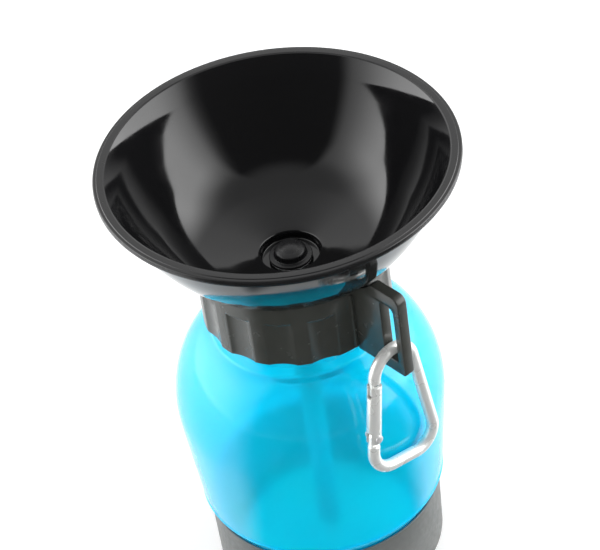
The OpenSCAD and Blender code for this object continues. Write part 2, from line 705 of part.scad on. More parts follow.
module carabiner_frame() {
    color(silver) {
        at_hinge() translate([0, 0, tongue_top + rod_bite])
            straight(nose_straight - rod_bite)
            bend(top_bend_r, spine_heading - gate_lean)
            straight(spine_length)
            bend(spine_bend_r, bottom_heading - spine_heading)
            straight(bottom_length)
            bend(gate_bend_r, 360 + gate_lean - bottom_heading)
            straight(tang_straight - rod_bite);
        at_hinge() difference() {
            union() {
                flat_bar(tang_t, tang_half, -tang_foot - 0.5, 0);
                cross_pin(tang_half, tang_t / 2, 0);
            }
            cross_pin(rivet_r + pivot_gap, tang_t, 0);
        }
        at_hinge() difference() {
            flat_bar(tongue_t, tongue_half, tongue_tip_z, tongue_top + 0.5);
            translate([-tongue_t, -pin_r - 0.1, pin_z - notch_half])
                cube([2 * tongue_t, tongue_half + pin_r + 1, 2 * notch_half]);
        }
    }
}

module carabiner_gate() {
    color(silver) at_hinge() difference() {
        rotate_extrude($fn = 64) polygon([
            [0, gate_foot_z], [gate_r - gate_round, gate_foot_z], [gate_r, gate_foot_z + gate_round],
            [gate_r, gate_top_z - gate_round], [gate_r - gate_round, gate_top_z], [0, gate_top_z]]);
        translate([0, 0, gate_foot_z - over])
            cylinder(r = gate_bore_r, h = gate_top_z - gate_foot_z + 2 * over, $fn = 32);
        flat_bar(tang_t + 2 * slot_gap, gate_r + over, gate_foot_z - over, tang_half + 0.5);
        flat_bar(tongue_t + 2 * slot_gap, gate_r + over, tongue_tip_z - 0.6, gate_top_z + over);
        cross_pin(rivet_r + pivot_gap, gate_r + over, 0);
        cross_pin(pin_r + pivot_gap, gate_r + over, pin_z);
    }
}

module hinge_rivet() {
    color(steel) at_hinge() {
        cross_pin(rivet_r, gate_r + rivet_head_t / 2, 0);
        for (side = [-1, 1]) translate([side * (gate_r + rivet_head_t / 2), 0, 0])
            cross_pin(rivet_head_r, rivet_head_t / 2, 0);
    }
}

module nose_pin() {
    color(steel) at_hinge() cross_pin(pin_r, gate_r, pin_z);
}

module gate_spring() {
    color(steel) at_hinge() translate([0, spring_side, tang_half + 0.3])
        cylinder(r = spring_wire_r, h = tongue_tip_z - 0.9 - tang_half, $fn = 16);
}

bottle();
base_ring();
neck_gasket();
bowl();
clamp_ring();
tube_holder();
dip_tube();
valve_knob();
valve_seal();
stem_ring();
stem_clip();
collar();
carabiner_frame();
carabiner_gate();
hinge_rivet();
nose_pin();
gate_spring();
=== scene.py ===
import json
from math import copysign, cos, dist, hypot, pi, radians, sin, sqrt, tan

import bmesh
import bpy
from mathutils import Matrix, Vector
from mathutils.geometry import tessellate_polygon


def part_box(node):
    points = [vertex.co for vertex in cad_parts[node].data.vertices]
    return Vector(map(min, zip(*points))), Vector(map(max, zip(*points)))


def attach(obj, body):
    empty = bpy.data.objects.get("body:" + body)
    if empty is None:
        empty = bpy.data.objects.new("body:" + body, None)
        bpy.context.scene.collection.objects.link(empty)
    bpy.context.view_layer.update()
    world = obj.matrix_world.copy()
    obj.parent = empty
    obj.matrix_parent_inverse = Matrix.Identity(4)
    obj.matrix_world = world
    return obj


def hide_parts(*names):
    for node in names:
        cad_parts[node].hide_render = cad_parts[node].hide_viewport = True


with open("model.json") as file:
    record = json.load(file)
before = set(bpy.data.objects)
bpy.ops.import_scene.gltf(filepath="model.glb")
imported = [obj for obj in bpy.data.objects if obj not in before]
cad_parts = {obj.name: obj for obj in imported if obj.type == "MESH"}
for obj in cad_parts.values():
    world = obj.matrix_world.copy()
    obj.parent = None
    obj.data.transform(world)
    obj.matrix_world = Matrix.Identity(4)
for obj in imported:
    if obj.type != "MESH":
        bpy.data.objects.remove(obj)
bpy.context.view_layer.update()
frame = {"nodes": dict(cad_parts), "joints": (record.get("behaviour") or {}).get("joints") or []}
mm = 0.001
print("frame loaded,", len(frame["nodes"]), "CAD nodes")


# places that the frame gives, in millimetres

def lowest(node):
    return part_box(node)[0] / mm


def highest(node):
    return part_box(node)[1] / mm


def jointPlace(name):
    joint = next(j for j in frame["joints"] if j["name"] == name)
    return Vector(joint["pos_m"]) / mm, Vector(joint["axis"])


# outlines and meshes

sideShare = 0.48  # the most of a side that one corner's arc may take


def rounded(corners, closed=True, steps=6):
    # corners are (x, y, radius); each becomes an arc, as large as its sides allow
    points = []
    for i, corner in enumerate(corners):
        here = Vector(corner[:2])
        radius = corner[2] if len(corner) > 2 else 0
        if radius == 0 or (not closed and i in (0, len(corners) - 1)):
            points.append(tuple(here))
            continue
        back = Vector(corners[i - 1][:2]) - here
        ahead = Vector(corners[(i + 1) % len(corners)][:2]) - here
        half = back.angle(ahead) / 2
        reach = min(radius / tan(half), sideShare * back.length, sideShare * ahead.length)
        radius = reach * tan(half)
        start = here + back.normalized() * reach
        end = here + ahead.normalized() * reach
        centre = here + (back.normalized() + ahead.normalized()).normalized() * radius / sin(half)
        sweep = (end - centre).angle_signed(start - centre)
        for k in range(steps + 1):
            turn = Matrix.Rotation(sweep * k / steps, 2)
            points.append(tuple(centre + turn @ (start - centre)))
    return points


def arcPoints(centre, radius, start, end, steps=12):
    angles = [radians(start + (end - start) * k / steps) for k in range(steps + 1)]
    return [(centre[0] + radius * cos(a), centre[1] + radius * sin(a)) for a in angles]


def shifted(points, distance):
    # moves an open line to its left
    line = []
    for i, p in enumerate(points):
        along = Vector(points[min(i + 1, len(points) - 1)]) - Vector(points[max(i - 1, 0)])
        line.append((p[0] - distance * along.y / along.length, p[1] + distance * along.x / along.length))
    return line


def meshFrom(name, verts, faces):
    mesh = bpy.data.meshes.new(name)
    mesh.from_pydata([Vector(v) * mm for v in verts], [], faces)
    return mesh


def outward(mesh, weld=1e-7):
    # merges doubles and turns the faces of a closed mesh outwards
    shape = bmesh.new()
    shape.from_mesh(mesh)
    bmesh.ops.remove_doubles(shape, verts=shape.verts, dist=weld)
    bmesh.ops.dissolve_degenerate(shape, edges=shape.edges, dist=weld)
    bmesh.ops.recalc_face_normals(shape, faces=shape.faces)
    if shape.calc_volume(signed=True) < 0:
        bmesh.ops.reverse_faces(shape, faces=shape.faces)
    shape.to_mesh(mesh)
    shape.free()
    return mesh


def lathe(name, outline, turns=192):
    # an outline of (radius, height) turned about Z; it ends on the axis, or closes on itself
    verts = []
    rings = []
    for radius, height in outline:
        count = turns if radius > 0 else 1
        rings.append([len(verts) + k for k in range(count)])
        for k in range(count):
            angle = 2 * pi * k / turns
            verts.append((radius * cos(angle), radius * sin(angle), height))
    if outline[0][0] > 0:
        rings.append(rings[0])
    faces = []
    for a, b in zip(rings, rings[1:]):
        for k in range(turns):
            quad = [a[k % len(a)], a[(k + 1) % len(a)], b[(k + 1) % len(b)], b[k % len(b)]]
            faces.append(list(dict.fromkeys(quad)))
    return outward(meshFrom(name, verts, faces))


def plate(name, outer, holes, thickness, edge, steps=3):
    # a flat piece in XY with rounded edges, centred on Z = 0
    def loopAt(points, inset, side):
        count = len(points)
        loop = []
        for i, p in enumerate(points):
            along = (Vector(points[(i + 1) % count]) - Vector(points[i - 1])).normalized()
            loop.append((p[0] - side * inset * along.y, p[1] + side * inset * along.x))
        return loop

    def area(points):
        return sum(a[0] * b[1] - b[0] * a[1] for a, b in zip(points, points[1:] + points[:1])) / 2

    verts = []
    faces = []
    caps = {-1: [], 1: []}
    for number, points in enumerate([outer] + holes):
        side = copysign(1, area(points)) * (1 if number == 0 else -1)
        levels = []
        for face in (-1, 1):
            for k in range(steps + 1):
                angle = pi / 2 * (k if face > 0 else steps - k) / steps
                inset = edge * (1 - cos(angle))
                height = face * (thickness / 2 - edge * (1 - sin(angle)))
                levels.append((inset, height))
        rings = []
        for inset, height in levels:
            rings.append(range(len(verts), len(verts) + len(points)))
            verts += [(x, y, height) for x, y in loopAt(points, inset, side)]
        for a, b in zip(rings, rings[1:]):
            for k in range(len(points)):
                j = (k + 1) % len(points)
                faces.append([a[k], a[j], b[j], b[k]])
        caps[-1].append(rings[0])
        caps[1].append(rings[-1])
    for face in (-1, 1):
        order = [i for ring in caps[face] for i in ring]
        loops = [[Vector(verts[i]) for i in ring] for ring in caps[face]]
        faces += [[order[i] for i in triangle] for triangle in tessellate_polygon(loops)]
    return outward(meshFrom(name, verts, faces))


def newObject(name, data):
    made = bpy.data.objects.new(name, data)
    bpy.context.scene.collection.objects.link(made)
    return made


def withModifier(mesh, kind, **settings):
    # the mesh after one modifier
    holder = newObject("holder", mesh)
    modifier = holder.modifiers.new(kind.lower(), kind)
    for key, value in settings.items():
        setattr(modifier, key, value)
    result = evaluated(holder)
    bpy.data.objects.remove(holder)
    return result


def evaluated(holder):
    bpy.context.view_layer.update()
    graph = bpy.context.evaluated_depsgraph_get()
    return bpy.data.meshes.new_from_object(holder.evaluated_get(graph), depsgraph=graph)


def combined(mesh, other, how="UNION"):
    helper = newObject("helper", other)
    result = withModifier(mesh, "BOOLEAN", object=helper, operation=how, solver="EXACT")
    bpy.data.objects.remove(helper)
    return outward(result)


def softened(mesh, width, angle=30):
    # small bevels on every edge sharper than the angle
    return withModifier(mesh, "BEVEL", width=width * mm, segments=2, limit_method="ANGLE",
                        angle_limit=radians(angle), harden_normals=False)


def placed(mesh, matrix):
    mesh.transform(matrix)
    return mesh


def moved(x, y, z):
    return Matrix.Translation(Vector((x, y, z)) * mm)


def smooth(mesh, angle=35):
    mesh.polygons.foreach_set("use_smooth", [True] * len(mesh.polygons))
    mesh.set_sharp_from_angle(angle=radians(angle))
    return mesh


def piece(name, mesh, material, body, slot, *replaced):
    # a mesh that has its own materials comes with None
    mesh.name = name
    if material is not None:
        mesh.materials.clear()
        mesh.materials.append(material)
    made = newObject(name, mesh)
    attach(made, body)
    if replaced:
        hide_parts(*replaced)


# node trees

def added(tree, kind, values=None, **settings):
    # a new node: values fills its inputs with numbers or links, settings are its own properties
    node = tree.nodes.new(kind)
    for key, value in settings.items():
        setattr(node, key, value)
    for key, value in (values or {}).items():
        if isinstance(value, bpy.types.NodeSocket):
            tree.links.new(value, node.inputs[key])
        else:
            node.inputs[key].default_value = value
    return node


def mathNode(tree, operation, *values):
    return added(tree, "ShaderNodeMath", dict(enumerate(values)), operation=operation).outputs[0]


def newTree(name, inputs):
    # gives the tree and its named inputs, of which the material is the last
    tree = bpy.data.node_groups.new(name, "GeometryNodeTree")
    tree.interface.new_socket("Geometry", in_out="INPUT", socket_type="NodeSocketGeometry")
    tree.interface.new_socket("Geometry", in_out="OUTPUT", socket_type="NodeSocketGeometry")
    for label, kind in {**inputs, "Material": "Material"}.items():
        tree.interface.new_socket(label, in_out="INPUT", socket_type="NodeSocket" + kind)
    return tree, tree.nodes.new("NodeGroupInput").outputs


def finishTree(tree, get, geometry):
    realize = added(tree, "GeometryNodeRealizeInstances", {"Geometry": geometry})
    paint = added(tree, "GeometryNodeSetMaterial",
                  {"Geometry": realize.outputs["Geometry"], "Material": get["Material"]})
    added(tree, "NodeGroupOutput", {0: paint.outputs["Geometry"]})
    return tree


def grown(data, tree, values):
    # runs a tree on a mesh or curve and gives the plain mesh that it makes, less the slivers of a cut
    sliver = 2e-6
    holder = newObject("holder", data)
    modifier = holder.modifiers.new("nodes", "NODES")
    modifier.node_group = tree
    for item in tree.interface.items_tree:
        if item.item_type == "SOCKET" and item.in_out == "INPUT" and item.name in values:
            modifier[item.identifier] = values[item.name]
    holder.update_tag()
    mesh = evaluated(holder)
    holder.modifiers.remove(modifier)
    bpy.data.objects.remove(holder)
    return outward(mesh, sliver)


def lifted(tree, geometry, height):
    offset = added(tree, "ShaderNodeCombineXYZ", {"Z": height})
    return added(tree, "GeometryNodeTransform",
                 {"Geometry": geometry, "Translation": offset.outputs[0]}).outputs["Geometry"]


def rodTree():
    # a round rod along a curve; the curve's radius thins its ends
    tree, get = newTree("rodAlongPath", {"Rod radius": "Float", "Sides": "Int"})
    profile = added(tree, "GeometryNodeCurvePrimitiveCircle",
                    {"Resolution": get["Sides"], "Radius": get["Rod radius"]})
    radius = added(tree, "GeometryNodeInputRadius")
    sweep = added(tree, "GeometryNodeCurveToMesh",
                  {"Curve": get["Geometry"], "Profile Curve": profile.outputs["Curve"], "Fill Caps": True})
    if "Scale" in sweep.inputs:
        tree.links.new(radius.outputs[0], sweep.inputs["Scale"])
    return finishTree(tree, get, sweep.outputs["Mesh"])


def threadTree():
    # a helical ridge, from a spiral and the profile that the modifier's own curve gives
    tree, get = newTree("threadRidge", {"Radius": "Float", "Rise": "Float", "Turns": "Float",
                                        "Start height": "Float"})
    height = mathNode(tree, "MULTIPLY", get["Rise"], get["Turns"])
    spiral = added(tree, "GeometryNodeCurveSpiral",
                   {"Resolution": 96, "Rotations": get["Turns"], "Start Radius": get["Radius"],
                    "End Radius": get["Radius"], "Height": height})
    upright = added(tree, "GeometryNodeSetCurveNormal",
                    {"Curve": lifted(tree, spiral.outputs["Curve"], get["Start height"])}, mode="Z_UP")
    sweep = added(tree, "GeometryNodeCurveToMesh",
                  {"Curve": upright.outputs["Curve"], "Profile Curve": get["Geometry"], "Fill Caps": True})
    return finishTree(tree, get, sweep.outputs["Mesh"])


def fluteTree():
    # presses flutes into the collar's outside, below their top edge, one place left plain for the lug
    tree, get = newTree("collarFlutes", {"Count": "Int", "Collar radius": "Float", "Inner radius": "Float",
                                         "Cutter radius": "Float", "Depth": "Float", "Flute top": "Float",
                                         "End slope": "Float"})

    def calc(operation, *values):
        return mathNode(tree, operation, *values)

    place = added(tree, "GeometryNodeInputPosition")
    x, y, z = added(tree, "ShaderNodeSeparateXYZ", {0: place.outputs[0]}).outputs
    angle = calc("ARCTAN2", y, x)
    half = calc("DIVIDE", calc("DIVIDE", 2 * pi, get["Count"]), 2.0)
    local = calc("WRAP", angle, half, calc("MULTIPLY", half, -1.0))
    radius = calc("SQRT", calc("ADD", calc("MULTIPLY", x, x), calc("MULTIPLY", y, y)))
    # the cutter is a round bar beside the collar: how far it reaches in at this angle
    cutter = get["Cutter radius"]
    centre = calc("ADD", calc("SUBTRACT", get["Collar radius"], get["Depth"]), cutter)
    across = calc("MULTIPLY", centre, calc("SINE", local))
    chord = calc("SQRT", calc("SUBTRACT", calc("MULTIPLY", cutter, cutter),
                              calc("MULTIPLY", across, across)))
    wall = calc("SUBTRACT", calc("MULTIPLY", centre, calc("COSINE", local)), chord)
    cut = calc("MAXIMUM", calc("SUBTRACT", get["Collar radius"], wall), 0.0)
    # each flute ends upwards in a slope
    slope = calc("MULTIPLY", calc("SUBTRACT", get["Flute top"], z), get["End slope"])
    cut = calc("MAXIMUM", calc("MINIMUM", cut, slope), 0.0)
    free = calc("GREATER_THAN", calc("ABSOLUTE", angle), half)
    outside = calc("GREATER_THAN", radius, get["Inner radius"])
    share = calc("MULTIPLY", free, outside)
    factor = calc("SUBTRACT", 1.0, calc("DIVIDE", calc("MULTIPLY", cut, share), radius))
    join = added(tree, "ShaderNodeCombineXYZ",
                 {"X": calc("MULTIPLY", x, factor), "Y": calc("MULTIPLY", y, factor), "Z": z})
    move = added(tree, "GeometryNodeSetPosition", {"Geometry": get["Geometry"], "Position": join.outputs[0]})
    return finishTree(tree, get, move.outputs["Geometry"])


def holeTree():
    # a ring of round holes through a mesh
    tree, get = newTree("holeRing", {"Count": "Int", "Ring radius": "Float", "Hole radius": "Float",
                                     "Height": "Float", "Depth": "Float"})
    ring = added(tree, "GeometryNodeMeshCircle", {"Vertices": get["Count"], "Radius": get["Ring radius"]})
    drill = added(tree, "GeometryNodeMeshCylinder",
                  {"Vertices": 40, "Radius": get["Hole radius"], "Depth": get["Depth"]})
    places = lifted(tree, ring.outputs["Mesh"], get["Height"])
    spread = added(tree, "GeometryNodeInstanceOnPoints",
                   {"Points": places, "Instance": drill.outputs["Mesh"]})
    cutters = added(tree, "GeometryNodeRealizeInstances", {"Geometry": spread.outputs["Instances"]})
    carve = added(tree, "GeometryNodeMeshBoolean", operation="DIFFERENCE")
    tree.links.new(get["Geometry"], carve.inputs["Mesh 1"])
    tree.links.new(cutters.outputs["Geometry"], carve.inputs["Mesh 2"])
    return finishTree(tree, get, carve.outputs["Mesh"])


def pathCurve(name, points, radii=None, closed=False):
    curve = bpy.data.curves.new(name, "CURVE")
    curve.dimensions = "3D"
    spline = curve.splines.new("POLY")
    spline.points.add(len(points) - 1)
    for i, p in enumerate(points):
        spline.points[i].co = (*(Vector(p) * mm), 1)
        spline.points[i].radius = radii[i] if radii else 1
    spline.use_cyclic_u = closed
    return curve


# materials

noiseRange = (0.3, 0.7)  # the part of a noise that a ramp spreads


def newMaterial(name, colour, settings):
    material = bpy.data.materials.new(name)
    material.use_nodes = True
    shader = material.node_tree.nodes["Principled BSDF"]
    for label, value in {"Base Color": (*colour, 1), **settings}.items():
        shader.inputs[label].default_value = value
    return material, material.node_tree, shader


def objectNoise(tree, scale, detail):
    place = added(tree, "ShaderNodeTexCoord")
    return added(tree, "ShaderNodeTexNoise",
                 {"Vector": place.outputs["Object"], "Scale": scale, "Detail": detail}).outputs["Fac"]


def showSurface(tree, output):
    tree.links.new(output, tree.nodes["Material Output"].inputs["Surface"])


def makeFinish(name, look):
    # each noise is (scale, detail); the colour wanders between two shades, the roughness between two values
    # bump is (strength, distance in millimetres), and a tint lets light through to what stands inside
    material, tree, shader = newMaterial(name, look["colour"], look["shader"])
    if "shades" in look:
        ramp = added(tree, "ShaderNodeValToRGB", {"Fac": objectNoise(tree, *look["shadeNoise"])})
        for element, shade, position in zip(ramp.color_ramp.elements, look["shades"], noiseRange):
            element.color = (*shade, 1)
            element.position = position
        tree.links.new(ramp.outputs["Color"], shader.inputs["Base Color"])
    (start, end), (low, high) = noiseRange, look["rough"]
    spread = added(tree, "ShaderNodeMapRange",
                   {"Value": objectNoise(tree, *look["roughNoise"]), "From Min": start, "From Max": end,
                    "To Min": low, "To Max": high})
    tree.links.new(spread.outputs["Result"], shader.inputs["Roughness"])
    if "bump" in look:
        strength, distance = look["bump"]
        bump = added(tree, "ShaderNodeBump", {"Height": objectNoise(tree, *look["bumpNoise"]),
                                              "Strength": strength, "Distance": distance * mm})
        tree.links.new(bump.outputs["Normal"], shader.inputs["Normal"])
    if "tint" in look:
        path = added(tree, "ShaderNodeLightPath")
        passing = added(tree, "ShaderNodeBsdfTransparent", {"Color": (*look["tint"], 1)})
        mix = added(tree, "ShaderNodeMixShader",
                    {"Fac": path.outputs["Is Shadow Ray"], 1: shader.outputs[0], 2: passing.outputs[0]})
        showSurface(tree, mix.outputs[0])
    return material


def bluePlastic():
    return makeFinish("bluePlastic", {
        "colour": (0, 0.73, 1), "shades": ((0, 0.68, 1), (0, 0.73, 1)), "shadeNoise": (28, 2),
        "rough": (0.1, 0.17), "roughNoise": (160, 4), "bump": (0.12, 0.5), "bumpNoise": (22, 1),
        "tint": (0, 0.8, 1), "shader": {"Roughness": 0.14, "IOR": 1.45, "Transmission Weight": 0.46}})


def blueInside():
    # the wall's inner face: clear, as the outer one holds the colour
    return makeFinish("blueInside", {
        "colour": (1, 1, 1), "rough": (0.06, 0.14), "roughNoise": (120, 3), "tint": (1, 1, 1),
        "shader": {"Roughness": 0.1, "IOR": 1.45, "Transmission Weight": 1}})


def bowlGloss():
    return makeFinish("bowlGloss", {
        "colour": (0.006, 0.006, 0.0065), "rough": (0.05, 0.1), "roughNoise": (90, 4),
        "bump": (0.12, 0.4), "bumpNoise": (34, 2), "shader": {"Roughness": 0.07, "IOR": 1.5}})


def rimSatin():
    return makeFinish("rimSatin", {
        "colour": (0.011, 0.011, 0.0115), "rough": (0.16, 0.28), "roughNoise": (300, 4),
        "bump": (0.1, 0.05), "bumpNoise": (900, 2), "shader": {"Roughness": 0.22, "IOR": 1.5}})


def collarPlastic():
    return makeFinish("collarPlastic", {
        "colour": (0.041, 0.043, 0.038), "shades": ((0.037, 0.039, 0.034), (0.045, 0.047, 0.042)),
        "shadeNoise": (60, 2), "rough": (0.17, 0.28), "roughNoise": (240, 4), "bump": (0.12, 0.2),
        "bumpNoise": (70, 2), "shader": {"Roughness": 0.24, "IOR": 1.5}})


def basePlastic():
    return makeFinish("basePlastic", {
        "colour": (0.12, 0.125, 0.12), "shades": ((0.11, 0.115, 0.11), (0.13, 0.135, 0.13)),
        "shadeNoise": (40, 3), "rough": (0.36, 0.5), "roughNoise": (400, 4), "bump": (0.15, 0.05),
        "bumpNoise": (1400, 2), "shader": {"Roughness": 0.42, "IOR": 1.5}})


def knobSatin():
    return makeFinish("knobSatin", {
        "colour": (0.012, 0.012, 0.013), "rough": (0.24, 0.36), "roughNoise": (500, 4),
        "bump": (0.12, 0.04), "bumpNoise": (1500, 2), "shader": {"Roughness": 0.3, "IOR": 1.5}})


def polishedAluminium():
    return makeFinish("polishedAluminium", {
        "colour": (0.83, 0.84, 0.82), "rough": (0.24, 0.3), "roughNoise": (90, 2),
        "bump": (0.1, 0.06), "bumpNoise": (60, 2), "shader": {"Roughness": 0.27, "Metallic": 0.45}})


def rivetSteel():
    return makeFinish("rivetSteel", {
        "colour": (0.74, 0.74, 0.75), "rough": (0.16, 0.3), "roughNoise": (700, 3),
        "bump": (0.12, 0.03), "bumpNoise": (900, 2), "shader": {"Roughness": 0.22, "Metallic": 0.5}})


def paleSilicone():
    return makeFinish("paleSilicone", {
        "colour": (0.75, 0.76, 0.77), "rough": (0.44, 0.58), "roughNoise": (300, 3),
        "shader": {"Roughness": 0.5, "Subsurface Weight": 0.2, "Subsurface Radius": (0.002, 0.002, 0.002)}})


def milkyTube():
    return makeFinish("milkyTube", {
        "colour": (0.62, 0.66, 0.68), "rough": (0.3, 0.42), "roughNoise": (200, 3),
        "shader": {"Roughness": 0.35, "IOR": 1.45, "Transmission Weight": 0.25}})


def blackRubber():
    return makeFinish("blackRubber", {
        "colour": (0.02, 0.02, 0.02), "rough": (0.52, 0.7), "roughNoise": (500, 3),
        "shader": {"Roughness": 0.6}})


finish = {
    "blue": bluePlastic(), "blueInside": blueInside(), "gloss": bowlGloss(), "rim": rimSatin(),
    "collar": collarPlastic(), "base": basePlastic(), "knob": knobSatin(),
    "aluminium": polishedAluminium(), "steel": rivetSteel(), "silicone": paleSilicone(),
    "tube": milkyTube(), "rubber": blackRubber(),
}
print("materials made:", len(finish))


# base ring that the bottle snaps into

def makeBaseRing():
    ring = {"wall": 1.8, "draft": 0.7, "footWidth": 9.2, "flange": 2.4, "footRound": 1.8, "lipRound": 0.3,
            "lipHeight": 1.3, "lipStep": 0.35, "lipOut": 0.5, "lipWidth": 0.8, "grooveDepth": 3,
            "boreStep": 0.45}
    low, high = lowest("base_ring"), highest("base_ring")
    top, topR = high.z, high.x + ring["lipOut"]
    footR = high.x - ring["draft"]
    bore = high.x - ring["wall"] - ring["boreStep"]
    corners = [
        (footR, low.z, ring["footRound"]),
        (topR - ring["lipStep"], top - ring["lipHeight"] - ring["lipStep"], 0.2),
        (topR, top - ring["lipHeight"], 0.2),
        (topR, top, ring["lipRound"]),
        (topR - ring["lipWidth"], top, ring["lipRound"] / 2),
        (topR - ring["lipWidth"], top - ring["grooveDepth"], 0.1),
        (bore, top - ring["grooveDepth"], 0.2),
        (bore, ring["flange"], 0.5),
        (footR - ring["footWidth"], ring["flange"], 0.4),
        (footR - ring["footWidth"], low.z, 0.6),
    ]
    mesh = lathe("baseRing", rounded(corners, steps=5), 224)
    piece("baseRing", smooth(mesh), finish["base"], "bottle", "grey_plastic", "base_ring")


makeBaseRing()
print("base ring made")


# squeeze bottle

bottle = {
    "bellyRise": 52.3, "gap": 0.4, "taper": 0.105, "taperSoft": 4, "shoulderRise": 42, "coreR": 24,
    "heel": 4, "neckR": 33.8, "neckWall": 1.8, "neckLength": 23.8, "ledgeStep": 2.5, "ledgeBand": 5.5,
    "ledgeRound": 1.5, "lipReach": 1.2, "lipRise": 1.7, "mouthRound": 0.4, "foldReach": 1.6,
    "foldRound": 2, "bead": 0.3, "beadDrops": (1.3, 1.1, 0.6), "heelTurn": 2, "wall": 1.6, "floor": 2.4,
    "heelFold": (1.9, 1.2), "pushUp": 2.5,
    "pushUpShape": [(0, 1), (0.25, 0.93), (0.5, 0.72), (0.78, 0.1), (0.84, 0)],
    "plugStep": 2.4, "plugHeel": 2.6, "lead": 5, "turns": 1.25, "threadRise": 7.15, "threadHeight": 1.1,
    "threadRoot": 1.9, "threadCrest": 1.0, "bite": 0.5,
}
bellyR = highest("bottle").x
mouthH = highest("bottle").z
bodyH = highest("base_ring").z + bottle["gap"]
bellyH = bodyH + bottle["bellyRise"]
ledgeH = mouthH - bottle["neckLength"]
ledgeR = bottle["neckR"] + bottle["ledgeStep"]
threadH = ledgeH + bottle["threadRise"]  # middle of the thread's first ridge


def bodyRadius(height):
    soft = bottle["taperSoft"]
    return bellyR - bottle["taper"] * (hypot(bellyH - height, soft) - soft)


def shoulderRadius(height):
    rise = (height - bellyH) / bottle["shoulderRise"]
    return bottle["coreR"] + (bellyR - bottle["coreR"]) * sqrt(1 - rise * rise)


def makeBottle():
    heel = bottle["heel"]
    plugR = highest("base_ring").x - bottle["plugStep"]
    floorH = bottle["floor"]
    bandH = ledgeH - bottle["ledgeBand"]
    bodySteps, shoulderSteps = 18, 30
    dome = [(across * plugR, rise * bottle["pushUp"]) for across, rise in bottle["pushUpShape"]]
    plug = [(x, floorH + y) for x, y in dome]
    plug += arcPoints((plugR - bottle["plugHeel"], floorH + bottle["plugHeel"]), bottle["plugHeel"], -90, 0)
    plug += [(plugR, bodyH)]
    heelR, turnH, bead = bodyRadius(bodyH + heel), bodyH + heel + bottle["heelTurn"], bottle["bead"]
    beadFoot, beadLow, beadTop = (turnH - drop for drop in bottle["beadDrops"])
    foldIn, foldUp = bottle["heelFold"]
    body = rounded([(heelR - heel, bodyH), (heelR - foldIn, bodyH + foldUp, 0.5),
                    (heelR - bead, beadFoot, 0.15), (heelR + bead, beadLow, 0.2), (heelR + bead, beadTop, 0.3),
                    (heelR, turnH, 0.5), (heelR + 0.05, turnH + 1)], closed=False, steps=5)[:-1]
    for k in range(1, bodySteps):
        height = turnH + (bellyH - turnH) * k / bodySteps
        body.append((bodyRadius(height), height))
    for k in range(shoulderSteps + 1):
        height = bellyH + (bandH - bellyH) * sin(pi / 2 * k / shoulderSteps)
        body.append((shoulderRadius(height), height))
    neckR, neckInner = bottle["neckR"], bottle["neckR"] - bottle["neckWall"]
    lipTop, mouthRound = ledgeH + bottle["lipRise"], bottle["mouthRound"]
    body = [p for p in body if p[1] < bellyH or p[0] > ledgeR + bottle["foldReach"]]
    neck = rounded([body[-1], (ledgeR, bandH, bottle["foldRound"]),
                    (ledgeR, ledgeH - 1, bottle["ledgeRound"]),
                    (neckR + bottle["lipReach"], lipTop, 0.3), (neckR, lipTop, 0.4),
                    (neckR, mouthH, mouthRound), (neckInner, mouthH, mouthRound), (neckInner, ledgeH)],
                   closed=False, steps=4)
    innerBody = list(reversed(shifted(body, bottle["wall"])))
    innerPlug = arcPoints((plugR - bottle["plugHeel"], floorH + bottle["plugHeel"]),
                          bottle["plugHeel"] - bottle["wall"], 0, -90, 6)
    inside = innerBody + [(innerPlug[0][0], bodyH - 0.6)] + innerPlug
    inside += [(x, floorH + bottle["wall"] + y) for x, y in reversed(dome)]
    mesh = lathe("bottleShell", plug + body + neck[1:] + inside, 224)
    mesh.materials.append(finish["blue"])
    mesh.materials.append(finish["blueInside"])
    for face in mesh.polygons:
        toAxis = face.normal.x * face.center.x + face.normal.y * face.center.y < 0
        within = face.center.z < (mouthH - 1) * mm and face.center.z > (floorH + 0.5 * bottle["wall"]) * mm
        face.material_index = int(within and (toAxis or face.normal.z > 0.9))
    piece("bottleShell", smooth(mesh, 50), None, "bottle", "blue_squeeze_plastic", "bottle")


def makeThread(name, radius, startH, side, material):
    # the ridge's profile lies across its path, with X outwards; side is 1 on a neck and -1 in a bore
    root, crest = bottle["threadRoot"] / 2, bottle["threadCrest"] / 2
    tip = side * (bottle["threadHeight"] + bottle["bite"])
    profile = pathCurve(name, [(0, -root, 0), (tip, -crest, 0), (tip, crest, 0), (0, root, 0)], closed=True)
    values = {"Radius": (radius - side * bottle["bite"]) * mm, "Rise": bottle["lead"] * mm,
              "Turns": bottle["turns"], "Start height": startH * mm, "Material": material}
    return grown(profile, threadTree(), values)


makeBottle()
print("bottle made")


# drinking bowl

bowl = {
    "rimWidth": 4.6, "wall": 2.3, "side": 61, "floor": 14, "curve": 32, "depth": 46.8,
    "slopes": [(13.5, 12.5), (26, 12.5), (32, 14.4), (38, 28.3), (44, 40.4), (50, 51), (56, 57)],
    "lipSlopes": [(61, 62.7), (63.5, 66.3), (65.2, 61.9), (66.6, 59.3), (67.9, 57)],
    "backSlopes": [(62, 63.5), (67.9, 65)], "wellR": 12, "wellRound": 1.5, "wellDepth": 4.3,
    "wellWall": 1.9, "beadHeight": 2.5, "beadRound": 0.9, "bandStep": 0.3, "bandWidth": 1.7,
    "grooveDepth": 0.9, "grooveHeight": 0.3, "ridgeHeight": 0.4, "ridgeIn": 0.6, "seatR": 33,
    "seatRise": 0.8, "guideR": 4.2, "stemBore": 2.56, "spigotWall": 3.4, "spigotDrop": 1.3,
    "clampWidth": 7, "clampStep": 1.5, "clampSeat": 2.4, "holes": 6, "holeR": 1.5, "holeRing": 6.1,
}
rimR = highest("bowl").x
lipH = highest("bowl").z
wellH = lipH - bowl["depth"]
seatH = wellH + bowl["seatRise"]
clampH = lowest("clamp_ring").z
spigotR = highest("clamp_ring").x - bowl["clampWidth"]
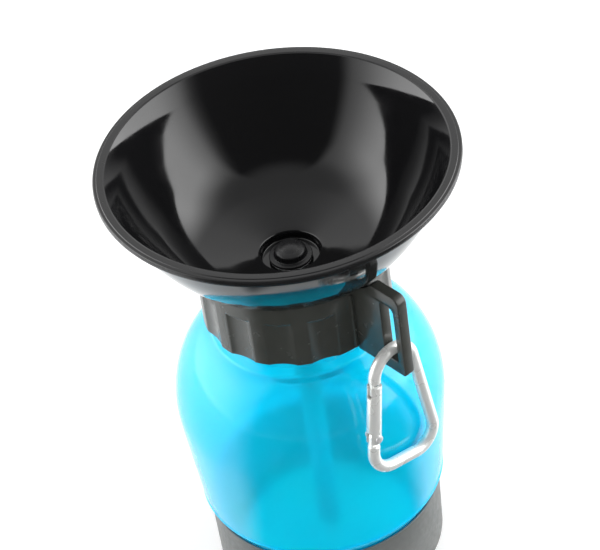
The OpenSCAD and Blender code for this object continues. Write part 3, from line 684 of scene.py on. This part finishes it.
wellFloorH = wellH - bowl["wellDepth"]


def bowlCurve():
    # the centre of the curve by which the side runs into the floor
    side, floor = radians(bowl["side"]), radians(bowl["floor"])
    lipR = rimR - bowl["rimWidth"]
    edgeR = bowl["wellR"] + bowl["wellRound"]
    climb = lipR * tan(side) - bowl["depth"] - edgeR * tan(floor)
    meetR = climb / (tan(side) - tan(floor))
    meetH = wellH + (meetR - edgeR) * tan(floor)
    reach = bowl["curve"] * tan((side - floor) / 2)
    end = (meetR + reach * cos(side), meetH + reach * sin(side))
    return (end[0] - bowl["curve"] * sin(side), end[1] + bowl["curve"] * cos(side))


def slopedLine(slopes):
    # a line from the well's edge to the lip: its slope is set at a few radii
    (radius, slope), height = slopes[0], 0
    points = []
    for nextRadius, nextSlope in slopes[1:]:
        reach, steps = nextRadius - radius, 8
        for k in range(steps):
            points.append((radius + reach * k / steps, height))
            angle = slope + (nextSlope - slope) * (k + 0.5) / steps
            height += reach / steps * tan(radians(angle))
        radius, slope = nextRadius, nextSlope
    points.append((radius, height))
    return [(x, y + lipH - height) for x, y in points]


def makeBowl():
    floor, wall = radians(bowl["floor"]), bowl["wall"]
    lipR = rimR - bowl["rimWidth"]
    wellR, wellOut = bowl["wellR"], bowl["wellR"] + bowl["wellWall"]
    edgeR = wellR + bowl["wellRound"]
    underH = wellFloorH - wall
    guideH = lowest("bowl").z
    spigotH = clampH - bowl["spigotDrop"]

    def underAt(radius):
        return wellH + (radius - edgeR) * tan(floor) - wall / cos(floor)

    sides = slopedLine(bowl["slopes"] + bowl["lipSlopes"])
    inside = rounded([(bowl["stemBore"], wellFloorH), (wellR, wellFloorH, 0.7),
                      (wellR, sides[0][1] - 0.3, 1.2), sides[1]], closed=False, steps=7)
    inside += sides[2:]
    beadH, ridge = lipH - bowl["beadHeight"], bowl["ridgeHeight"]
    grooveH = beadH - bowl["grooveHeight"]
    back = shifted(slopedLine(bowl["slopes"] + bowl["backSlopes"]), -wall)
    outside = [p for p in reversed(back) if bowl["seatR"] < p[0] and p[1] < grooveH - ridge - 1]
    band, grooveR, ridgeR = rimR - bowl["bandWidth"], rimR - bowl["grooveDepth"], rimR - bowl["ridgeIn"]
    bandH = lipH - bowl["bandStep"]
    rim = rounded([inside[-2], (lipR, lipH - 0.25, 0.2), (lipR + 0.5, lipH, 0.4), (band, lipH, 0.25),
                   (band + 0.2, bandH, 0.2), (rimR, bandH, bowl["beadRound"]),
                   (rimR, beadH, 0.5), (grooveR, beadH, 0.15), (grooveR, grooveH, 0.15),
                   (ridgeR, grooveH, 0.2), (ridgeR, grooveH - ridge, 0.2), outside[0], outside[1]],
                  closed=False, steps=6)
    clampTop, clampR = clampH + bowl["clampSeat"], spigotR - bowl["clampStep"]
    spigotIn = spigotR - bowl["spigotWall"]
    seat = rounded([outside[-1], (bowl["seatR"], seatH, 0.3), (spigotR, seatH, 0.2), (spigotR, clampTop),
                    (clampR, clampTop), (clampR, spigotH, 0.4), (spigotIn, spigotH, 0.3),
                    (spigotIn, underAt(spigotIn), 0.6), (wellOut, underAt(wellOut), 0.6),
                    (wellOut, underH, 0.4), (bowl["guideR"], underH, 0.25), (bowl["guideR"], guideH, 0.3),
                    (bowl["stemBore"], guideH, 0.2)], closed=False, steps=4)
    mesh = lathe("drinkingBowl", inside[:-1] + rim[1:] + outside[2:] + seat[1:], 256)
    holes = {"Count": bowl["holes"], "Ring radius": bowl["holeRing"] * mm, "Hole radius": bowl["holeR"] * mm,
             "Height": (wellFloorH - wall / 2) * mm, "Depth": 2 * wall * mm,
             "Material": finish["gloss"]}
    mesh = grown(mesh, holeTree(), holes)
    mesh.materials.clear()
    mesh.materials.append(finish["gloss"])
    mesh.materials.append(finish["rim"])
    rimFloor = (grooveH - ridge - 0.3) * mm
    for face in mesh.polygons:
        radius = hypot(face.center.x, face.center.y)
        face.material_index = int(face.center.z > rimFloor and radius > (lipR + 0.1) * mm)
    piece("drinkingBowl", smooth(mesh, 40), None, "head", "black_gloss_plastic", "bowl")


makeBowl()
print("bowl made")


# push and pull valve

def makeValveKnob():
    valve = {"knobR": 6.4, "knobStep": 0.15, "discT": 1.2, "discRound": 0.35, "stemR": 2.5, "sealT": 0.8,
             "domeR": 11, "domeSteps": 12, "shoulder": 1, "clipPlay": 0.05, "clipGroove": 0.7,
             "ringPlay": 0.15, "ringGroove": 1, "edge": 0.9, "edgeDrop": 0.2, "domeBlend": (0.6, 0.62),
             "domeInset": 0.8}
    low, high = lowest("valve_knob"), highest("valve_knob")
    clipLow, clipHigh = lowest("stem_clip").z, highest("stem_clip").z
    ringLow, ringHigh = lowest("stem_ring").z, highest("stem_ring").z
    stem, disc, knob = valve["stemR"], high.x, valve["knobR"]
    discH, discRound = wellFloorH + valve["sealT"], valve["discRound"]
    discTop = discH + valve["discT"]
    topH, domeEdge, domeSteps = high.z, knob - valve["shoulder"], valve["domeSteps"]
    domeDrop = valve["domeR"] - sqrt(valve["domeR"] ** 2 - domeEdge ** 2)
    blendIn, blendShare = valve["domeBlend"]
    clipLow, clipHigh = clipLow - valve["clipPlay"], clipHigh + valve["clipPlay"]
    ringLow, ringHigh = ringLow - valve["ringPlay"], ringHigh + valve["ringPlay"]
    clipR, ringR = stem - valve["clipGroove"], stem - valve["ringGroove"]
    shaft = rounded([(0, low.z), (stem, low.z, 0.4), (stem, clipLow), (clipR, clipLow), (clipR, clipHigh),
                     (stem, clipHigh), (stem, ringLow), (ringR, ringLow), (ringR, ringHigh), (stem, ringHigh),
                     (stem, discH), (disc, discH, discRound), (disc, discTop, discRound),
                     (knob + valve["knobStep"], discTop, 0.5),
                     (knob, topH - domeDrop - valve["edgeDrop"], valve["edge"]),
                     (domeEdge - blendIn, topH - domeDrop * blendShare)], closed=False, steps=5)
    dome = []
    for k in range(1, domeSteps + 1):
        radius = (domeEdge - valve["domeInset"]) * (1 - k / domeSteps)
        dome.append((radius, topH - valve["domeR"] + sqrt(valve["domeR"] ** 2 - radius ** 2)))
    mesh = lathe("valveKnob", shaft + dome, 96)
    piece("valveKnob", smooth(mesh, 40), finish["knob"], "valve", "black_satin_plastic", "valve_knob")


makeValveKnob()
print("valve knob made")


# screw collar with its lug

collar = {
    "rimRise": 2.4, "rimWall": 2.2, "rimFlare": 2, "flangeT": 2.6, "round": 1.1, "skirtRound": 0.7,
    "flutes": 14, "fluteAngle": 17, "fluteDepth": 1.3, "fluteBand": 8.6, "fluteEnd": 0.7, "bore": 35.2,
    "gap": 0.08, "lugT": 4.8, "post": 3.7, "slotTop": 6.3, "slotBar": 6.2, "lugCorner": 4.6,
    "lugEdge": 0.55, "lugGap": 1.4, "lugDrop": 1.6, "lugSmallRound": 1.4, "slotW": 7, "slotRound": 1,
    "slotCorner": 2.6, "topInset": 4, "ribR": 0.9, "ribAngle": 5.6, "ribEnd": 0.5, "ribIn": 0.3,
    "fluteInner": 1.2, "fluteRows": 12, "rowStep": 0.2, "faceStep": 2.2, "facesPerFlute": 30,
    "seatGap": 0.1,
}
collarR = -lowest("collar").x
skirtH = lowest("collar").z + collar["lugDrop"]
flangeTopH = seatH - collar["seatGap"]
collarTopH = flangeTopH + collar["rimRise"]


def collarOutline():
    fluteH = collarTopH - collar["fluteBand"]
    rimIn = collarR - collar["rimWall"]
    spigot = spigotR + collar["gap"]
    bore, flangeLowH = collar["bore"], flangeTopH - collar["flangeT"]
    fluteTops = [(collarR, fluteH - collar["rowStep"] * k) for k in range(collar["fluteRows"], -1, -1)]
    corners = [(bore, skirtH, collar["skirtRound"]), (collarR, skirtH, collar["skirtRound"]), *fluteTops,
               (collarR, collarTopH, collar["round"]), (rimIn, collarTopH, 0.4),
               (rimIn - collar["rimFlare"], flangeTopH, 0.4), (spigot, flangeTopH, 0.2),
               (spigot, flangeLowH, 0.2), (bore, flangeLowH, 0.3)]
    outline = rounded(corners, steps=5)
    # a few more rings up the flutes keep the faces near square
    dense = []
    for a, b in zip(outline, outline[1:] + outline[:1]):
        count = max(1, round(dist(a, b) / collar["faceStep"]))
        dense += [(a[0] + (b[0] - a[0]) * k / count, a[1] + (b[1] - a[1]) * k / count) for k in range(count)]
    return dense, fluteH


def lugOutline():
    outerX = highest("collar").x
    lowH, topH = lowest("collar").z, highest("collar").z
    rootX = collarR - collar["rimWall"]
    centre = bowlCurve()
    outerCurve = bowl["curve"] + bowl["wall"]
    flatEnd, topSteps = outerX - collar["post"] - collar["topInset"], 14
    top = []
    for k in range(topSteps + 1):
        x = flatEnd - (flatEnd - collarR) * k / topSteps
        under = centre[1] - sqrt(outerCurve ** 2 - (x - centre[0]) ** 2)
        top.append((x, min(topH, under - collar["lugGap"])))
    corners = [(rootX, skirtH + 1), (collarR - 0.5, lowH, 0.3), (outerX, lowH, collar["lugSmallRound"]),
               (outerX, topH, collar["lugCorner"])]
    outer = rounded(corners + top + [(rootX, flangeTopH)], steps=8)
    slotOut = outerX - collar["post"]
    slotIn = slotOut - collar["slotW"]
    slotLow, slotHigh = lowH + collar["slotBar"], topH - collar["slotTop"]
    small, large = collar["slotRound"], collar["slotCorner"]
    slot = rounded([(slotIn, slotLow, small), (slotOut, slotLow, small), (slotOut, slotHigh, large),
                    (slotIn, slotHigh, small)], steps=8)
    return outer, slot


def makeCollar():
    outline, fluteH = collarOutline()
    half = radians(collar["fluteAngle"] / 2)
    depth = collar["fluteDepth"]
    sagitta = depth - collarR * (1 - cos(half))
    cutter = ((collarR * sin(half)) ** 2 + sagitta ** 2) / (2 * sagitta)
    shell = lathe("screwCollar", outline, collar["flutes"] * collar["facesPerFlute"])
    values = {"Count": collar["flutes"], "Collar radius": collarR * mm, "Cutter radius": cutter * mm,
              "Inner radius": (collar["bore"] + collar["fluteInner"]) * mm, "Depth": depth * mm,
              "Flute top": fluteH * mm, "End slope": collar["fluteEnd"], "Material": finish["collar"]}
    shell = grown(shell, fluteTree(), values)
    outer, slot = lugOutline()
    lug = plate("lug", outer, [slot], collar["lugT"], collar["lugEdge"], 4)
    upright = Matrix.Rotation(pi / 2, 4, "X")
    mesh = combined(shell, placed(lug, upright))
    ribR, ribEnd = collar["ribR"], collar["ribEnd"]
    ribH = flangeTopH - ribEnd - skirtH - ribEnd
    for side in (-1, 1):
        rib = lathe("rib", rounded([(0, 0), (ribR, 0, 0.4), (ribR, ribH, 0.4), (0, ribH)], closed=False,
                                   steps=3), 32)
        turn = Matrix.Rotation(radians(side * collar["ribAngle"]), 4, "Z")
        mesh = combined(mesh, placed(rib, turn @ moved(collarR - collar["ribIn"], 0, skirtH + ribEnd)))
    thread = makeThread("collarThread", collar["bore"], threadH - bottle["lead"] / 2, -1, finish["collar"])
    mesh = combined(mesh, thread)
    piece("screwCollar", smooth(mesh, 30), finish["collar"], "collar", "dark_collar_plastic", "collar")
    ridge = makeThread("neckThread", bottle["neckR"], threadH, 1, finish["blue"])
    piece("neckThread", smooth(ridge), finish["blue"], "bottle", "blue_squeeze_plastic")


makeCollar()
print("collar and threads made")


# carabiner, laid out in its own plane: X is across it, Y sideways and Z up

rod = {
    "radius": 2.5, "topBend": 10.4, "topOffset": 2, "gateLean": 9.5, "spineLean": 8, "spine": 40,
    "spineBend": 9, "gateBend": 11, "bottomRise": 11, "tangStraight": 3.7, "noseStraight": 1.6,
    "chamfer": 0.5, "step": 4, "tangFoot": 4.2, "tangHalf": 2.2, "tangT": 2.2, "tongueHalf": 2,
    "tongueT": 1.8, "pinR": 0.9, "rivetR": 1.2, "headR": 1.75, "headT": 0.62, "headLift": 0.02,
    "gateR": 3, "bore": 1.5, "slotPlay": 0.2, "gateRound": 0.55, "slotEdge": 0.12, "pinDrop": 3.4,
    "topDrop": 0.8, "footDrop": 2.6, "tipDrop": 5.8, "notchPlay": 0.3, "notchIn": 0.1, "buried": 0.6,
    "rivetPlay": 0.05, "barEdge": 0.15, "pinDome": [(0, 0), (0.5, 0.03), (0.85, 0.12), (1, 0.3)],
}
hangPoint = jointPlace("carabiner_swing")[0]
hingePlace, gateAxis = jointPlace("gate_open")
across = -gateAxis.normalized()
ringUp = across.cross(Vector((0, 1, 0)))
ringPlane = Matrix((across, Vector((0, 1, 0)), ringUp)).transposed().to_4x4()


def atHang():
    return Matrix.Translation(hangPoint * mm) @ ringPlane


def atHinge():
    lean = Matrix.Rotation(-radians(rod["gateLean"]), 4, "X")
    return Matrix.Translation(hingePlace * mm) @ ringPlane @ lean


def ahead(heading):
    return Vector((sin(radians(heading)), cos(radians(heading))))


def rightOf(heading):
    return Vector((cos(radians(heading)), -sin(radians(heading))))


def rodPath():
    # walks the rod from the nose, over the top, down the spine and along the bottom to the tang
    lean, spineHeading, bottomHeading = rod["gateLean"], 180 - rod["spineLean"], 270 + rod["bottomRise"]
    bendCentre = Vector((-rod["topOffset"], -rod["topBend"]))
    nose = bendCentre - rod["topBend"] * rightOf(lean)
    points = [nose - rod["noseStraight"] * ahead(lean)]
    points.append(points[0] + rod["chamfer"] * ahead(lean))
    place, heading = nose, lean
    points.append(place.copy())
    spineTop = bendCentre - rod["topBend"] * rightOf(spineHeading)
    spineFoot = spineTop + rod["spine"] * ahead(spineHeading)
    bottomStart = spineFoot + rod["spineBend"] * (rightOf(spineHeading) - rightOf(bottomHeading))
    gateShift = rod["gateBend"] * (rightOf(bottomHeading) - rightOf(lean))
    shortfall = -(bottomStart + gateShift - nose).dot(rightOf(lean))
    bottomLength = shortfall / ahead(bottomHeading).dot(rightOf(lean))
    for radius, target, length in ((rod["topBend"], spineHeading, rod["spine"]),
                                   (rod["spineBend"], bottomHeading, bottomLength),
                                   (rod["gateBend"], 360 + lean, rod["tangStraight"] - rod["chamfer"])):
        centre = place + radius * rightOf(heading)
        count = round((target - heading) / rod["step"])
        for k in range(1, count + 1):
            turned = heading + (target - heading) * k / count
            points.append(centre - radius * rightOf(turned))
        place = points[-1] + length * ahead(target)
        heading = target
        points.append(place.copy())
    points.append(place + rod["chamfer"] * ahead(heading))
    return points


def gateFrame():
    # heights along the gate from its hinge
    hinge = (ringPlane.inverted() @ (hingePlace - hangPoint)).yz
    nose = Vector(rodPath()[2])
    span = (nose - Vector(hinge)).length
    tongueTop = span - rod["noseStraight"]
    return {"tongueTop": tongueTop, "pin": tongueTop - rod["pinDrop"], "top": tongueTop - rod["topDrop"],
            "foot": -rod["footDrop"], "tip": tongueTop - rod["tipDrop"]}


def flatBar(name, outer, holes, thickness, edge):
    # a plate whose outline lies in the ring's plane
    mesh = plate(name, outer, holes, thickness, edge)
    stand = Matrix(((0, 0, 1, 0), (1, 0, 0, 0), (0, 1, 0, 0), (0, 0, 0, 1)))
    return placed(mesh, stand)


def makeCarabiner():
    path = rodPath()
    thin = 1 - rod["chamfer"] / rod["radius"]
    radii = [thin] + [1] * (len(path) - 2) + [thin]
    curve = pathCurve("rodPath", [(0, p.x, p.y) for p in path], radii)
    values = {"Rod radius": rod["radius"] * mm, "Sides": 48, "Material": finish["aluminium"]}
    mesh = grown(curve, rodTree(), values)
    placed(mesh, atHang())
    heights = gateFrame()
    half, notch, notchIn = rod["tongueHalf"], rod["pinR"] + rod["notchPlay"], -rod["pinR"] - rod["notchIn"]
    notchLow, notchHigh = heights["pin"] - notch, heights["pin"] + notch
    root = heights["tongueTop"] + rod["buried"]
    tongue = rounded([(-half, heights["tip"], 0.5), (half, heights["tip"], 0.5), (half, notchLow, 0.4),
                      (notchIn, notchLow, 0.6), (notchIn, notchHigh, 0.6), (half, notchHigh, 0.4),
                      (half, root), (-half, root)], steps=4)
    tongueBar = flatBar("tongue", tongue, [], rod["tongueT"], rod["barEdge"])
    mesh = combined(mesh, placed(tongueBar, atHinge()))
    side, foot = rod["tangHalf"], -rod["tangFoot"] - rod["buried"]
    tang = [(side, foot)] + arcPoints((0, 0), side, 0, 180, 20) + [(-side, foot)]
    hole = arcPoints((0, 0), rod["rivetR"] + rod["rivetPlay"], 0, 345, 23)
    tangBar = flatBar("tang", tang, [hole], rod["tangT"], rod["barEdge"])
    mesh = combined(mesh, placed(tangBar, atHinge()))
    piece("carabinerRod", smooth(mesh, 40), finish["aluminium"], "carabiner", "aluminium_rod",
          "carabiner_frame")


def block(width, depth, low, high):
    # a plain cutter, used up by the gate's slots
    verts = [(x * width / 2, y * depth / 2, z) for x in (-1, 1) for y in (-1, 1) for z in (low, high)]
    faces = [(0, 1, 3, 2), (4, 6, 7, 5), (0, 4, 5, 1), (2, 3, 7, 6), (0, 2, 6, 4), (1, 5, 7, 3)]
    return outward(meshFrom("block", verts, faces))


def makeGate():
    heights = gateFrame()
    outer, bore, play, edge = rod["gateR"], rod["bore"], 2 * rod["slotPlay"], rod["gateRound"]
    foot, top = heights["foot"], heights["top"]
    sleeve = lathe("sleeve", rounded([(outer, foot, edge), (outer, top, edge), (bore, top, 0.2),
                                      (bore, foot, 0.2)], steps=5), 72)
    wide = 3 * outer
    for thickness, low, high in ((rod["tangT"], foot - 1, rod["tangHalf"] + 0.5),
                                 (rod["tongueT"], heights["tip"] - 0.6, top + 1)):
        sleeve = combined(sleeve, block(thickness + play, wide, low, high), "DIFFERENCE")
    sleeve = softened(sleeve, rod["slotEdge"])
    piece("carabinerGate", smooth(placed(outward(sleeve), atHinge()), 40), finish["aluminium"], "gate",
          "aluminium_rod", "carabiner_gate")
    sideways = Matrix.Rotation(pi / 2, 4, "Y")
    reach, head = outer + rod["headLift"], outer + rod["headT"]
    rivet = [(0, head)]
    rivet += [(rod["headR"] * sin(a), outer + rod["headT"] * (0.45 + 0.55 * cos(a)))
              for a in (pi / 2 * k / 6 for k in range(1, 7))]
    rivet += [(rod["headR"], reach), (rod["rivetR"], reach)]
    rivet += [(x, -y) for x, y in reversed(rivet)]
    mesh = placed(lathe("hingeRivet", rivet, 48), atHinge() @ sideways)
    piece("hingeRivet", smooth(mesh, 40), finish["steel"], "carabiner", "steel", "hinge_rivet")
    pin = [(share * rod["pinR"], outer - drop) for share, drop in rod["pinDome"]]
    pin += [(x, -y) for x, y in reversed(pin)]
    mesh = placed(lathe("nosePin", pin, 40), atHinge() @ moved(0, 0, heights["pin"]) @ sideways)
    piece("nosePin", smooth(mesh, 40), finish["steel"], "gate", "steel", "nose_pin")


makeCarabiner()
makeGate()
print("carabiner and gate made")


# CAD nodes that keep their own shape

keptNodes = {
    "neck_gasket": "silicone", "clamp_ring": "gloss", "tube_holder": "gloss", "dip_tube": "tube",
    "valve_seal": "silicone", "stem_ring": "rubber", "stem_clip": "steel", "gate_spring": "steel",
}
for nodeName, finishName in keptNodes.items():
    for slot in frame["nodes"][nodeName].material_slots:
        slot.material = finish[finishName]
print("CAD nodes finished:", len(keptNodes))


# camera, at the photographed angle

view = {"azimuth": -37.4, "elevation": 38.432, "distance": 1167.17, "roll": -8.5224, "pan": 0.1164,
        "tilt": 2.2708, "lens": 180, "sensor": 36, "clip": (0.05, 50)}


def makeCamera():
    lift = radians(view["elevation"])
    pan, tilt, roll = (radians(view[k]) for k in ("pan", "tilt", "roll"))
    place = Vector((cos(lift), 0, sin(lift))) * view["distance"] * mm
    axes = Matrix(((0, 1, 0), (-sin(lift), 0, cos(lift)), (cos(lift), 0, sin(lift))))
    panned = Matrix(((cos(pan), 0, sin(pan)), (0, 1, 0), (-sin(pan), 0, cos(pan))))
    tilted = Matrix(((1, 0, 0), (0, cos(tilt), -sin(tilt)), (0, sin(tilt), cos(tilt))))
    rolled = Matrix(((cos(roll), sin(roll), 0), (-sin(roll), cos(roll), 0), (0, 0, 1)))
    turn = (rolled @ tilted @ panned @ axes).transposed().to_4x4()
    data = bpy.data.cameras.new("camera")
    data.lens = view["lens"]
    data.sensor_width = view["sensor"]
    data.clip_start, data.clip_end = view["clip"]
    camera = newObject("camera", data)
    around = Matrix.Rotation(radians(view["azimuth"]), 4, "Z")
    rimCentre = Matrix.Translation((0, 0, lipH * mm))
    camera.matrix_world = rimCentre @ around @ Matrix.Translation(place) @ turn
    bpy.context.scene.camera = camera


makeCamera()
print("camera made")


# floor, backdrop and two wide soft lights, which the sky holds

studio = {
    "floorSize": 12, "floorColour": 0.8, "floorRough": 0.3, "floorGlow": 0.3, "flagNear": (0.056, 0.07),
    "flagFar": 3, "flagReach": (7, 53, 75), "backLevel": 1.0, "topLevel": 0.5, "darkLevel": 0.06,
    "softLevel": 0.78, "clearTop": (0.72, 0.94), "darkTop": (0.84, 0.99),
    "lights": [
        {"azimuth": -144, "reach": 56, "core": 10, "top": 0.42, "level": 3.5},
        {"azimuth": 57, "reach": 54, "core": 14, "top": 0.5, "level": 3.85},
    ],
    "lightFloor": -0.2, "lightEnd": 0.88, "darkReach": 60, "darkCore": 48,
}


def seesBackdrop(tree):
    # 1 for rays that look at the backdrop straight, by reflection or through glass
    path = added(tree, "ShaderNodeLightPath").outputs
    straight = mathNode(tree, "MAXIMUM", path["Is Camera Ray"], path["Is Glossy Ray"])
    return mathNode(tree, "MAXIMUM", straight, path["Is Transmission Ray"])


def eased(tree, value, start, end, low=0, high=1):
    values = {"Value": value, "From Min": start, "From Max": end, "To Min": low, "To Max": high}
    return added(tree, "ShaderNodeMapRange", values, interpolation_type="SMOOTHSTEP").outputs["Result"]


def fadedAside(tree, x, y, azimuth, full, reach):
    # 1 within full degrees of an azimuth, easing to 0 at reach, either way
    turned = mathNode(tree, "SUBTRACT", mathNode(tree, "ARCTAN2", y, x), radians(azimuth))
    aside = mathNode(tree, "ABSOLUTE", mathNode(tree, "WRAP", turned, pi, -pi))
    return eased(tree, aside, radians(full), radians(reach), 1, 0)


def blended(tree, share, first, second):
    # first where share is 0, second where it is 1
    rest = mathNode(tree, "MULTIPLY", mathNode(tree, "SUBTRACT", 1.0, share), first)
    return mathNode(tree, "ADD", rest, mathNode(tree, "MULTIPLY", share, second))


def makeWorld():
    world = bpy.data.worlds.new("studio")
    world.use_nodes = True
    tree = world.node_tree
    coords = added(tree, "ShaderNodeTexCoord")
    x, y, height = added(tree, "ShaderNodeSeparateXYZ", {0: coords.outputs["Generated"]}).outputs
    rising = eased(tree, height, studio["lightFloor"], 0.0)
    total = 0.0
    for light in studio["lights"]:
        spread = fadedAside(tree, x, y, light["azimuth"], light["core"], light["reach"])
        band = mathNode(tree, "MULTIPLY", rising, eased(tree, height, light["top"], studio["lightEnd"], 1, 0))
        glow = mathNode(tree, "MULTIPLY", mathNode(tree, "MULTIPLY", spread, band), light["level"])
        total = mathNode(tree, "ADD", total, glow)
    darkSide = fadedAside(tree, x, y, view["azimuth"], studio["darkCore"], studio["darkReach"])
    topLevel = studio["topLevel"]
    clearSide = blended(tree, eased(tree, height, *studio["clearTop"]), studio["backLevel"], topLevel)
    shade = blended(tree, eased(tree, height, *studio["darkTop"]), studio["darkLevel"], topLevel)
    backdrop = blended(tree, darkSide, clearSide, shade)
    seen = added(tree, "ShaderNodeLightPath").outputs["Is Camera Ray"]
    backdrop = blended(tree, seen, backdrop, 1.0)
    level = blended(tree, seesBackdrop(tree), studio["softLevel"], backdrop)
    lights = mathNode(tree, "MULTIPLY", total, mathNode(tree, "SUBTRACT", 1.0, seen))
    sky = tree.nodes["Background"].inputs
    tree.links.new(mathNode(tree, "ADD", level, lights), sky["Strength"])
    sky["Color"].default_value = (1, 1, 1, 1)
    bpy.context.scene.world = world


def flatSheet(name, half, height, material):
    mesh = bpy.data.meshes.new(name)
    corners = [(x * half, y * half, height) for x, y in ((-1, -1), (1, -1), (1, 1), (-1, 1))]
    mesh.from_pydata(corners, [], [(0, 1, 2, 3)])
    mesh.materials.append(material)
    sheet = newObject(name, mesh)
    return sheet


def makeFloor():
    shade, rough = studio["floorColour"], {"Roughness": studio["floorRough"]}
    material, tree, shader = newMaterial("paleFloor", (shade, shade, shade), rough)
    glow = added(tree, "ShaderNodeEmission",
                 {"Strength": mathNode(tree, "MULTIPLY", seesBackdrop(tree), studio["floorGlow"])})
    both = added(tree, "ShaderNodeAddShader", {0: shader.outputs[0], 1: glow.outputs[0]})
    showSurface(tree, both.outputs[0])
    flatSheet("floor", studio["floorSize"] / 2, 0, material)


def makeFlag():
    # a black card on the floor before the object, which only its reflections show; it fades at its edges
    black = {"Roughness": 1, "Specular IOR Level": 0}
    material, tree, shader = newMaterial("blackCard", (0.01, 0.01, 0.01), black)
    middle, full, reach = studio["flagReach"]
    coords = added(tree, "ShaderNodeTexCoord")
    x, y = added(tree, "ShaderNodeSeparateXYZ", {0: coords.outputs["Object"]}).outputs[:2]
    away = mathNode(tree, "SQRT", mathNode(tree, "ADD", mathNode(tree, "MULTIPLY", x, x),
                                           mathNode(tree, "MULTIPLY", y, y)))
    share = mathNode(tree, "MULTIPLY", eased(tree, away, *studio["flagNear"]),
                     fadedAside(tree, x, y, view["azimuth"] + middle, full, reach))
    clear = added(tree, "ShaderNodeBsdfTransparent")
    mix = added(tree, "ShaderNodeMixShader", {"Fac": share, 1: clear.outputs[0], 2: shader.outputs[0]})
    showSurface(tree, mix.outputs[0])
    card = flatSheet("flag", studio["flagFar"], mm, material)
    card.visible_camera = card.visible_diffuse = card.visible_shadow = card.visible_transmission = False


makeWorld()
makeFloor()
makeFlag()
bpy.context.scene.view_settings.view_transform = "Standard"
print("studio made")
